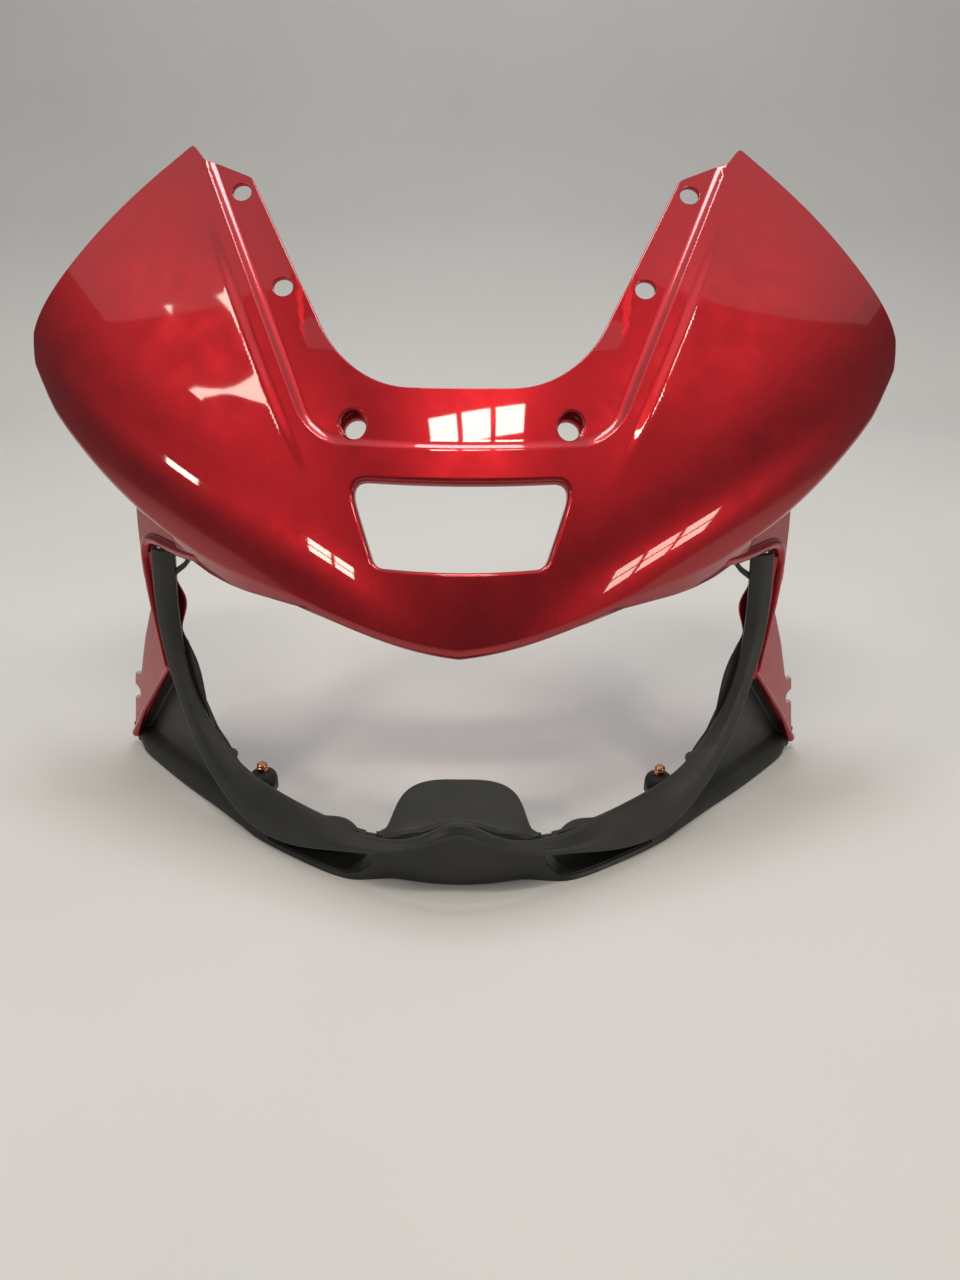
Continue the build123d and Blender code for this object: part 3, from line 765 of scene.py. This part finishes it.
# Upper cowl
def cowl_outline():
    lower = [(s * WING_HALF, float(brow_z(s * WING_HALF))) for s in BROW_STOPS]
    side = spline(lower + [(WING_HALF, WING_Z), *REAR_EDGE, (TIP_X, TIP_Z)], 240)
    end_z = TIP_Z - TIP_DROP
    end = (LEDGE_HALF + LEDGE_SLOPE * (end_z - LEDGE_Z), end_z)
    arc_z = CUTOUT_Z + CUTOUT_R
    over, up = LEDGE_TOP_X - CUTOUT_HALF, LEDGE_TOP_Z - arc_z
    touch = math.atan2(up, over) - math.acos(CUTOUT_R / math.hypot(over, up))
    arc = [
        (CUTOUT_HALF + CUTOUT_R * math.cos(a), arc_z + CUTOUT_R * math.sin(a))
        for a in np.linspace(touch, -QUARTER, 24)
    ]
    tip, parts = 12, 6
    corners = [side[-tip], (TIP_X, TIP_Z), end, (LEDGE_TOP_X, LEDGE_TOP_Z), arc[0]]
    top = rounded(corners, [0.1, TIP_R, TIP_END_R, LEDGE_TOP_R, 0.1], parts)
    top = top[parts + 1:-(parts + 1)]
    half = np.vstack([side[:-tip], top, arc, [(0, CUTOUT_Z)]])
    return even(half, 2.6)


def cowl_rolls(points):
    """A return under the brow that hangs down by each strut, plain rounded edges elsewhere."""
    rolls = []
    for x, z in points:
        ax = abs(x)
        by_edge = ax > RETURN_SHARE * WING_HALF or z < brow_z(ax) + RETURN_BAND
        low = float(smooth((WING_Z + RETURN_OVER - z) / RETURN_FADE)) * float(by_edge)
        turn = np.interp(ax, RETURN_X, RETURN_TURN)
        run = np.interp(ax, RETURN_X, RETURN_RUN)
        rolls.append((EDGE_R + (RETURN_R - EDGE_R) * low, run, math.radians(turn), low))
    return rolls


def ledge_lines():
    """Rows of points along the ledge's step and the ridges, so that both stay crisp."""
    rows = []
    for s in STEP_ROWS:
        straight = LEDGE_HALF + LEDGE_SLOPE * s - LEDGE_R * LEDGE_LEAN
        line = [(x, LEDGE_Z + s) for x in np.arange(-150, 150.1, 2.4) if abs(x) < straight]
        for f in np.linspace(0, QUARTER, 17):
            low = LEDGE_R - (LEDGE_R - s) * math.cos(f)
            side = LEDGE_R - (LEDGE_R - s) * math.sin(f)
            x = LEDGE_HALF + LEDGE_SLOPE * low - side * LEDGE_LEAN
            line += [(x, LEDGE_Z + low), (-x, LEDGE_Z + low)]
        for z in np.arange(LEDGE_Z + LEDGE_R, TIP_Z - TIP_DROP - 6, 2.2):
            x = LEDGE_HALF + LEDGE_SLOPE * (z - LEDGE_Z) - s * LEDGE_LEAN
            line += [(x, z), (-x, z)]
        rows.append(np.array(line))
    zs = np.arange(RIDGE_FOOT_Z + 4, RIDGE_TOP_Z - 4, 2.4)
    for d in RIDGE_ROWS:
        row = np.stack([ridge_x(zs) + d, zs], axis=1)
        rows.append(np.vstack([row, row * (-1, 1)]))
    return np.vstack(rows)


def cup_floor(build, x, z, sides=64):
    """The bottom of an oval cup, with the screw hole through it."""
    fx, fz = slopes(cowl_y, x, z, CUP_SLOPE_STEP)
    facing = np.array([fx, -1.0, fz]) / math.sqrt(fx * fx + fz * fz + 1)
    across = np.array([1.0, fx, 0.0]) / math.hypot(1, fx)
    up = np.cross(facing, across)
    middle = np.array([x, cowl_y(x, z), z])
    angle = np.linspace(0, 2 * np.pi, sides, endpoint=False)[:, None]
    wide, tall, under = CUP_W / 2 + CUP_LAP, CUP_TALL / 2 + CUP_LAP, CUP_DEPTH + CUP_FLOOR_T
    rings = []
    for rx, rz, deep in (
        (wide, tall, CUP_DEPTH),
        (HOLE_R + CUP_BEVEL, HOLE_R + CUP_BEVEL, CUP_DEPTH),
        (HOLE_R, HOLE_R, CUP_DEPTH + CUP_BEVEL),
        (HOLE_R, HOLE_R, under),
        (wide, tall, under),
    ):
        ring = middle + rx * np.cos(angle) * across + rz * np.sin(angle) * up - deep * facing
        rings.append(build.add(ring))
    loop_of_rings(build, rings, sides)


def upper_cowl():
    build = Build()
    outer = mirrored(cowl_outline())
    hang = np.interp(np.abs(outer[:, 0]), HANG_X, HANG)
    hang = hang * smooth((WING_Z - outer[:, 1]) / HANG_FADE)
    outer = outer + outward(outer) * hang[:, None]
    outer[:, 0] = np.clip(outer[:, 0], -WING_HALF, WING_HALF)
    loops = [(outer, cowl_rolls(outer))]
    lean = math.hypot(1, RAKE)
    (cup_x, cup_z), *plain_holes = HOLES
    for side in (-1, 1):
        cup = ellipse(side * cup_x, cup_z, CUP_W / 2, CUP_TALL / 2 / lean, 64)
        loops.append(rolled_edge(cup, CUP_EDGE, CUP_DEPTH))
        for x, z in plain_holes:
            hole = ellipse(side * x, z, HOLE_R, HOLE_R / lean, 56)
            loops.append(plain_edge(hole, HOLE_EDGE))
    (low_x, low_z), (top_x, top_z) = VENT
    vent = [(-low_x, low_z), (-top_x, top_z), (top_x, top_z), (low_x, low_z)]
    vent = even(rounded(vent, VENT_R, parts=10), 2.2, closed=True)
    loops.append(rolled_edge(vent, VENT_EDGE, VENT_RETURN))
    clear = [inset(loop) for loop in loops]
    lines = ledge_lines()
    lines = apart(lines[within(lines, clear)], np.vstack(clear), ROW_GAP)
    cells = {}
    for p in lines:
        cells.setdefault((int(p[0] // ROW_CELL), int(p[1] // ROW_CELL)), p)
    kept = np.array(list(cells.values()))
    shell(build, cowl_y, loops, SKIN_T, step=3.0, lines=[kept])
    for side in (-1, 1):
        cup_floor(build, side * cup_x, cup_z)
    piece = build.object("upper_cowl_skin", RED, sharp=42)
    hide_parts("upper_cowl")


def flank_path(line, side, behind):
    """A line of the front view laid behind the flank's face."""
    x, z = line[:, 0], line[:, 1]
    return np.stack([side * x, flank_y(x, z) + behind, z], axis=1)


def legs():
    arch = [(164, 168), (168, 161), (174, 157.6), (199.5, 157.4), (204, 153.5), (203.8, 140)]
    inner = [(202, 124), (198.5, 98), (195, 75)]
    foot = [(229, 20), (237.5, 2), (240, 9), (236, 35)]
    notch = [(230, 38), (230, 43), (235, 44), (233.5, 54), (227, 57)]
    rear = [(219, 86), (209, 114), (214.5, 133), (215.5, 165), (215, 202), (190, 189), (170, 178)]
    radii = [2, 3, 4, 3, 3, 20] + [30, 30, 2] + [3, 2, 2, 2]
    radii += [1.2, 1.2, 1.5, 1.5, 3] + [30, 12, 20, 30, 3, 3, 3]
    shape = even(rounded(arch + inner + foot + notch + rear, radii), 1.8, closed=True)
    bead = [(146, 171), (156, 165), (166, 162), (178, 161), (192, 161), (199.5, 160.3)]
    bead += [(204.6, 157.2), (207, 151), (207, 141), (206, 128), (204.5, 115), (202.5, 103)]
    bead = spline(bead + [(199.5, 88), (197, 76)], 110)
    lip = [(195, 76), (205.5, 60), (216.5, 43), (226.5, 27), (234.5, 11), (238, 4.5)]
    lip = spline(lip, 60)
    for side, name in SIDES:
        build = Build()
        outline = turned(shape, side)
        shell(build, flank_y, [rolled_edge(outline, radius=2.5, run=1.0)], thick=2.4, step=4.0)
        k = np.linspace(0, 1, len(bead))
        behind = BEAD_BACK + BEAD_SINK * smooth((BEAD_SINK_X - bead[:, 0]) / BEAD_SINK_RUN)
        radii = BEAD_R - BEAD_THIN * ease(k, BEAD_THIN_FROM, BEAD_THIN_RUN)
        tube(build, flank_path(bead, side, behind), radii)
        k = np.linspace(0, 1, len(lip))
        radii = LIP_R + LIP_GROWTH * k + LIP_END * ease(k, LIP_END_FROM, LIP_END_RUN)
        tube(build, flank_path(lip, side, LIP_BACK), radii, sides=16)
        build.object(f"cowl_leg_{name}", RED, sharp=40)


def lobe(t, middle, half):
    return math.cos(QUARTER * min(abs(t - middle) / half, 1.0)) ** LOBE_POWER


def strut_strip(build, side, span, front, thick, lap, trim, bulge):
    """A flat strip behind a strut whose inner edge follows the rim's, with a lobe."""
    high, middle, half = bulge
    f, b, r = front, front + thick, min(1.0, 0.4 * thick)
    sections = []
    for t in np.linspace(*span, 70):
        w = rim_wide(t) - trim + high * lobe(t, middle, half)
        spots = [(lap, f), (lap + 0.3 * (w - lap), f), (lap + 0.7 * (w - lap), f), (w - r, f)]
        spots += [(w - 0.3 * r, f + 0.3 * r), (w, f + r), (w, b - r)]
        spots += [(w - 0.3 * r, b - 0.3 * r), (w - r, b), (lap + 0.5 * (w - lap), b), (lap, b)]
        section = np.array([rim_spot(t, x, y) for x, y in spots]) * (side, 1, 1)
        sections.append(section if side > 0 else section[::-1])
    loft(build, sections)


def liners():
    for side, name in SIDES:
        build = Build()
        strut_strip(build, side, *LINER_STRIP)
        build.object(f"cowl_liner_{name}", RED, sharp=40)


# Lower cowl
def skirt_outline():
    low = [(0, FLOOR_Z), (222, FLOOR_Z), (229, FLOOR_Z + 0.8), (234, FLOOR_Z + 3.5)]
    side = [(237.2, 4), (238.3, 9), (237.8, 15), (234.5, 25), (212, 64), (207, 69.5), (201, 71)]
    side += [(186, 71), (176, 58), (165, 40), (152, 30), (138, 27.5)]
    top = [(122, 27.5), (100, 27.5), (75, 26), (60, 24.5), (50, 25), (25, 33), (12, 38.5), (0, 41)]
    return mirrored(even(low + side + top, 2.4))


def skirt_rolls(points):
    """Edges that roll under, wider along the lip and narrower below the inlet slots."""
    rolls = []
    for x, z in points:
        ax = abs(x)
        lip = float(ease(ax, LIP_X, LIP_SPREAD)) * float(z < LIP_TOP)
        slot = float(ease(ax, SLOT_IN, SLOT_FADE) * (1 - ease(ax, SLOT_OUT, SLOT_FADE)))
        slot = slot * float(z < SLOT_TOP)
        radius = SKIRT_EDGE + SKIRT_EDGE_LIP * lip - SKIRT_EDGE_SLOT * slot
        rolls.append((radius, 1.0, math.radians(95), 1.0))
    return rolls


def sleeve(build, inlet):
    """A short duct behind an inlet slot, which slopes down."""
    grown = inlet - outward(inlet) * DUCT_T
    rings = []
    for line, back, fall in (
        (inlet, DUCT_START, 0.0),
        (inlet, DUCT_END, DUCT_FALL),
        (grown, DUCT_END, DUCT_FALL),
        (grown, DUCT_START, 0.0),
    ):
        x, z = line[:, 0], line[:, 1]
        low = np.maximum(z - fall * (z - FLOOR_Z), FLOOR_Z + DUCT_CLEAR)
        rings.append(build.add(np.stack([x, skirt_y(x, z) + back, low], axis=1)))
    loop_of_rings(build, rings, len(inlet), flip=True)


def skirt(build):
    outer = skirt_outline()
    loops = [(outer, skirt_rolls(outer))]
    slot = [(123, -0.6), (110, 3.2), (82, 11), (58, 15), (50.5, 13.5), (51.5, 6.5), (58, 0.8)]
    slot = rounded(slot + [(67, -0.8)], [1, 4, 8, 4, 3, 4, 5, 5])
    for side in (-1, 1):
        inlet = turned(even(slot, 1.4, closed=True), side, inward=True)
        loops.append(rolled_edge(inlet, radius=0.8, run=3.0))
        sleeve(build, inlet)
    start = len(build.verts)
    xs, zs = np.arange(134, 230, 2.5), np.arange(11.5, 66, 2.5)
    rows = [np.array([(side * x, z) for x in xs]) for z in LIP_ROWS for side in (-1, 1)]
    rows += [
        np.stack([side * (leg_x(zs) + d), zs], axis=1) for d in LEG_ROWS for side in (-1, 1)
    ]
    shell(build, skirt_y, loops, thick=1.5, step=4.0, lines=rows)
    for points in build.verts[start:]:
        points[:, 2] = np.maximum(points[:, 2], FLOOR_Z + FOOT_CLEAR)


def chin_floor(build):
    """A plate behind the skirt's foot, with tapered ends."""
    xs = np.linspace(-CHIN_FLOOR_HALF, CHIN_FLOOR_HALF, 101)
    front = skirt_y(xs, FLOOR_Z + 1.0) + CHIN_FLOOR_GAP
    taper = smooth((CHIN_FLOOR_HALF - np.abs(xs)) / CHIN_FLOOR_TAPER)
    rear = front + CHIN_FLOOR_END + CHIN_FLOOR_DEEP * taper
    floor = np.vstack([np.stack([xs, front], axis=1), np.stack([xs, rear], axis=1)[::-1]])
    floor = turned(even(floor, 2.6, closed=True))
    edge = plain_edge(floor, radius=0.6)
    shell(build, level(CHIN_FLOOR_TOP), [edge], thick=2.8, step=6.0, plan=True)


def tongue_arch(x):
    return ARCH_H * np.clip(1 - (x / ARCH_HALF) ** 2, 0, 1)


def tongue_z(x, y):
    """The tongue starts as an arch behind the rim's peak and flattens towards the back."""
    start = skirt_y(x, TONGUE_Z) + TONGUE_GAP
    fade = np.exp(-np.clip(y - start, 0, None) / ARCH_FADE)
    return TONGUE_Z + TONGUE_TILT * y + TONGUE_CROWN * x * x + tongue_arch(x) * fade


def tongue_and_tabs(build):
    edge = [(0, 59.5), (14, 59), (24, 56), (32.6, 48.5), (37.7, 36.6), (41, 22), (43.5, 14.5)]
    edge = spline(edge + [(46.5, 11), (50, 9.6)], 70)
    xs = np.linspace(TONGUE_HALF, 0, 28)
    root = np.minimum(skirt_y(xs, TONGUE_Z + tongue_arch(xs)) + TONGUE_GAP, TONGUE_ROOT)
    half = np.vstack([edge, np.stack([xs, root], axis=1)])
    tongue = turned(even(mirrored(half[::-1]), 2.0, closed=True))
    rim = rolled_edge(tongue, radius=2.4, run=0.6)
    shell(build, tongue_z, [rim], thick=2.0, step=3.0, plan=True)
    edge = [(TAB_IN, 9.2), (57.2, 12.0), (60.6, 17.4), (65, 23.0), (70.6, 26.4), (80, 27.9)]
    edge = spline(edge + [(90, 31.2), (TAB_OUT, 36)], 60)
    xs = np.linspace(TAB_OUT, TAB_IN, 30)
    tab = np.vstack([edge, np.stack([xs, skirt_y(xs, TAB_Z) + TAB_GAP], axis=1)])
    for side in (-1, 1):
        rim = rolled_edge(turned(even(tab, 1.6, closed=True), side), radius=2.2, run=0.4)
        shell(build, level(TAB_TOP), [rim], thick=1.8, step=3.0, plan=True)


def hook_outline():
    """The hook at the top of the left strut."""
    hook = [(186, 138.5), (177, 145.5), (171.5, 152.5), (169.5, 161), (172, 161.5), (174, 153.8)]
    hook += [(179, 147.6), (186, 142.5)]
    return even(rounded(hook, [1, 6, 8, 0.8, 0.8, 8, 6, 1], parts=5), 1.0, closed=True)


def rest_place(name):
    """Where a lamp seat stands on its rest."""
    low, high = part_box(f"lamp_seat_{name}")
    middle = [(a + b) / 2 / MM for a, b in zip(low, high)]
    return np.array([middle[0], middle[1], high[2] / MM - SEAT_H]) - SHIFT


def lamp_rest(build, side, name):
    """A plate with a round rear end that carries a lamp seat."""
    x, y, z = rest_place(name)
    x = abs(x)
    arc = np.linspace(-0.2, math.pi + 0.2, 24)
    plate = [(x + REST_R * math.cos(a), y + REST_R * math.sin(a)) for a in arc]
    plate += [(x - REST_R, y - REST_IN), (x + REST_R, y - REST_OUT)]
    edge = plain_edge(turned(even(plate, 1.6, closed=True), side), radius=0.8)
    shell(build, level(z), [edge], REST_T, step=3.0, plan=True)


def lower_cowl():
    build = Build()
    loft(build, [rim_section(t) for t in np.linspace(0.0, 2.0, RIM_COUNT)])
    skirt(build)
    chin_floor(build)
    tongue_and_tabs(build)
    hook = hook_outline()
    hook_y = rim_spot(0.0, rim_wide(0.0), 1.0)[1]
    small_boss = [(3.4, 0), (4.2, 0.8), (4.2, 5.2), (3.4, 6.0)]
    boss = [(BOSS_R, RIM_T - 1), (BOSS_R, LINER_BACK - 0.8), (BOSS_R - 0.3, LINER_BACK - 0.5)]
    for side, name in SIDES:
        edge = plain_edge(turned(hook, side), radius=0.6)
        shell(build, level(hook_y), [edge], thick=5.8, step=2.0)
        strut_strip(build, side, *STRUT_STRIP)
        lamp_rest(build, side, name)
        x, y, z = SMALL_BOSS
        lathe(build, (side * x, y, z), small_boss, sides=28, axis="y")
        for x, y, z in SCREWS:
            lathe(build, (side * x, y, z), boss, sides=32, axis="y")
    piece = build.object("lower_cowl_body", BLACK, sharp=40)
    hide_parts("lower_cowl")


# Lamp seats with their studs, and the screws behind the struts
def lamp_rests():
    for name in ("left", "right"):
        place = rest_place(name)
        dome = [(SEAT_D / 2 - 0.6, -SEAT_NECK), (SEAT_D / 2, 0.6 - SEAT_NECK), (SEAT_D / 2, 0.0)]
        for f in np.linspace(0, 1, 10):
            r = SEAT_TOP_D / 2 + (SEAT_D - SEAT_TOP_D) / 2 * math.cos(f * math.pi / 2)
            dome.append((r, 0.5 + (SEAT_H - 0.9) * math.sin(f * math.pi / 2)))
        dome += [(SEAT_TOP_D / 2 - 0.6, SEAT_H), (STUD_D / 2 - 0.2, SEAT_H - 0.5)]
        build = Build()
        lathe(build, place, dome, sides=48)
        seat = build.object(f"lamp_seat_{name}_rubber", RUBBER)
        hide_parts(f"lamp_seat_{name}")
        r, h = STUD_D / 2, SEAT_H + STUD_H
        pin = [(r, SEAT_H - 1), (r, h - 3.0), (r - 0.5, h - 2.4), (r - 0.5, h - 1.9)]
        pin += [(r, h - 1.4), (r - 0.3, h - 0.7), (r - 1.2, h)]
        build = Build()
        lathe(build, place, pin, sides=40)
        stud = build.object(f"lamp_stud_{name}_metal", BRASS)
        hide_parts(f"lamp_stud_{name}")


def joining_screws():
    build = Build()
    back = LINER_BACK + LINER_T - 0.6
    screw = [(2.0, 4.0), (2.0, back), (4.0, back), (4.0, back + 1.2), (3.5, back + 2.1)]
    screw += [(2.4, back + 2.6), (1.6, back + 2.6), (1.4, back + 1.0)]
    for side in (-1, 1):
        for x, y, z in SCREWS:
            lathe(build, (side * x, y, z), screw, sides=32, axis="y")
    piece = build.object("joining_screw_set", STEEL)
    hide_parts("joining_screws")


upper_cowl()
legs()
liners()
lower_cowl()
lamp_rests()
joining_screws()

# Floor and backdrop, lights and camera, in metres
FLOOR_HALF, FLOOR_NEAR, FLOOR_FAR, FLOOR_BEND, WALL_TOP = 3.0, -1.6, 1.1, 0.5, 2.4
SKY, SKY_STRENGTH = (0.86, 0.89, 0.92), 0.16
WARM, WHITE = (1.0, 0.90, 0.76), (1, 1, 1)
PANE_SHARE = 0.84
WINDOW_AIM = (0.0, 0.0, 0.2)
# Soft lights: name, place, target, size, power
SOFT_LIGHTS = [
    ("rear_soft", (0.2, 0.80, 1.95), (0.2, 0.65, 0.0), (4.0, 1.9), 10),
    ("top_small", (0.0, 0.55, 1.9), (0.0, 0.0, 0.1), (0.5, 0.4), 7),
]
# Windows: name, place, size, panes, power
WINDOWS = [
    ("left_high", (-1.20, -0.22, 1.8), (0.30, 0.16), (2, 1), 1.5),
    ("left_low", (-1.29, -0.51, 1.8), (0.38, 0.19), (2, 1), 2.3),
    ("left_far", (-2.10, -0.83, 1.3), (0.16, 0.16), (1, 1), 1.6),
    ("right_high", (1.03, -0.25, 1.8), (0.20, 0.15), (2, 1), 1.6),
    ("right_low", (1.09, -0.48, 1.8), (0.20, 0.13), (2, 1), 1.6),
    ("middle", (0.06, -0.46, 1.8), (0.62, 0.15), (3, 1), 6.0),
    ("front_left", (-1.60, -1.40, 1.5), (0.35, 0.26), (2, 2), 5.0),
    ("front_right", (1.75, -1.05, 0.65), (0.45, 0.36), (3, 2), 4.4),
]
# Camera: place in the drawing frame, angles in degrees, focal length and photo height in pixels
CAMERA_PLACE, CAMERA_TILT, CAMERA_ROLL = (11.5, -471.0, 375.0), 65.0, 0.45
SENSOR, FOCAL_PX, PHOTO_TALL_PX = 36.0, 1000.0, 1280.0


def backdrop():
    material, shader = principled("pale_floor", roughness=0.6, specular_ior_level=0.25)
    nodes, links = material.node_tree.nodes, material.node_tree.links
    tones = [(0.3, colour(0.81, 0.81, 0.80)), (0.7, colour(0.85, 0.85, 0.84))]
    mottle = ramp(material, noise(material, 3.0, 3.0), tones)
    place = nodes.new("ShaderNodeTexCoord")
    split = nodes.new("ShaderNodeSeparateXYZ")
    links.new(place.outputs["Object"], split.inputs["Vector"])
    # Painted shade: a ramp over height multiplies the floor's colour, so the wall above the floor
    # is painted darker and cooler than the floor
    rise = [(0.02, grey(1.0)), (0.30, colour(0.76, 0.77, 0.78))]
    painted_wall_shade = ramp(material, split.outputs["Z"], rise)
    mottle_with_painted_shade = nodes.new("ShaderNodeMix")
    mottle_with_painted_shade.data_type, mottle_with_painted_shade.blend_type = "RGBA", "MULTIPLY"
    mottle_with_painted_shade.inputs["Factor"].default_value = 1.0
    links.new(mottle, mottle_with_painted_shade.inputs["A"])
    links.new(painted_wall_shade, mottle_with_painted_shade.inputs["B"])
    links.new(mottle_with_painted_shade.outputs["Result"], shader.inputs["Base Color"])
    profile = [(FLOOR_NEAR, 0.0), (FLOOR_FAR, 0.0)]
    profile += [
        (FLOOR_FAR + FLOOR_BEND * math.sin(a), FLOOR_BEND - FLOOR_BEND * math.cos(a))
        for a in np.linspace(0.1, QUARTER, 12)
    ]
    profile.append((FLOOR_FAR + FLOOR_BEND, WALL_TOP))
    verts = [(x, y, z) for y, z in profile for x in (-FLOOR_HALF, FLOOR_HALF)]
    faces = [(2 * i, 2 * i + 1, 2 * i + 3, 2 * i + 2) for i in range(len(profile) - 1)]
    mesh = bpy.data.meshes.new("pale_floor")
    mesh.from_pydata(verts, [], faces)
    mesh.polygons.foreach_set("use_smooth", [True] * len(mesh.polygons))
    mesh.materials.append(material)
    floor = bpy.data.objects.new("pale_floor", mesh)
    bpy.context.collection.objects.link(floor)


def area_light(name, place, target, size, power, tone=WHITE):
    data = bpy.data.lights.new(name, "AREA")
    data.shape = "RECTANGLE"
    data.size, data.size_y = size
    data.energy = power
    data.color = tone
    lamp = bpy.data.objects.new(name, data)
    lamp.location = place
    lamp.rotation_euler = (Vector(target) - Vector(place)).to_track_quat("-Z", "Y").to_euler()
    bpy.context.collection.objects.link(lamp)


def window(name, place, size, panes, power):
    """A warm window of several panes that faces the cowl."""
    turn = (Vector(WINDOW_AIM) - Vector(place)).to_track_quat("-Z", "Y")
    across, up = panes
    wide, tall = size[0] / across, size[1] / up
    pane = (PANE_SHARE * wide, PANE_SHARE * tall)
    for i in range(across):
        for k in range(up):
            shift = Vector(((i - (across - 1) / 2) * wide, (k - (up - 1) / 2) * tall, 0.0))
            spot = Vector(place) + turn @ shift
            target = spot + turn @ Vector((0.0, 0.0, -1.0))
            area_light(f"{name}_{i}{k}", spot, target, pane, power / (across * up), WARM)


def lights():
    world = bpy.data.worlds.new("studio")
    world.use_nodes = True
    sky = world.node_tree.nodes["Background"]
    sky.inputs["Color"].default_value = colour(*SKY)
    sky.inputs["Strength"].default_value = SKY_STRENGTH
    bpy.context.scene.world = world
    for row in SOFT_LIGHTS:
        area_light(*row)
    for row in WINDOWS:
        window(*row)


def camera():
    data = bpy.data.cameras.new("camera")
    data.sensor_fit = "VERTICAL"
    data.sensor_height = SENSOR
    data.lens = SENSOR * FOCAL_PX / PHOTO_TALL_PX
    data.clip_start = 0.01
    cam = bpy.data.objects.new("camera", data)
    place = (np.array(CAMERA_PLACE) + SHIFT) * MM
    tilt = Matrix.Rotation(math.radians(CAMERA_TILT), 4, "X")
    roll = Matrix.Rotation(math.radians(CAMERA_ROLL), 4, "Z")
    cam.matrix_world = Matrix.Translation(place.tolist()) @ (tilt @ roll)
    bpy.context.collection.objects.link(cam)
    bpy.context.scene.camera = cam


backdrop()
lights()
camera()
bpy.context.scene.view_settings.view_transform = "Standard"

bpy.context.view_layer.update()
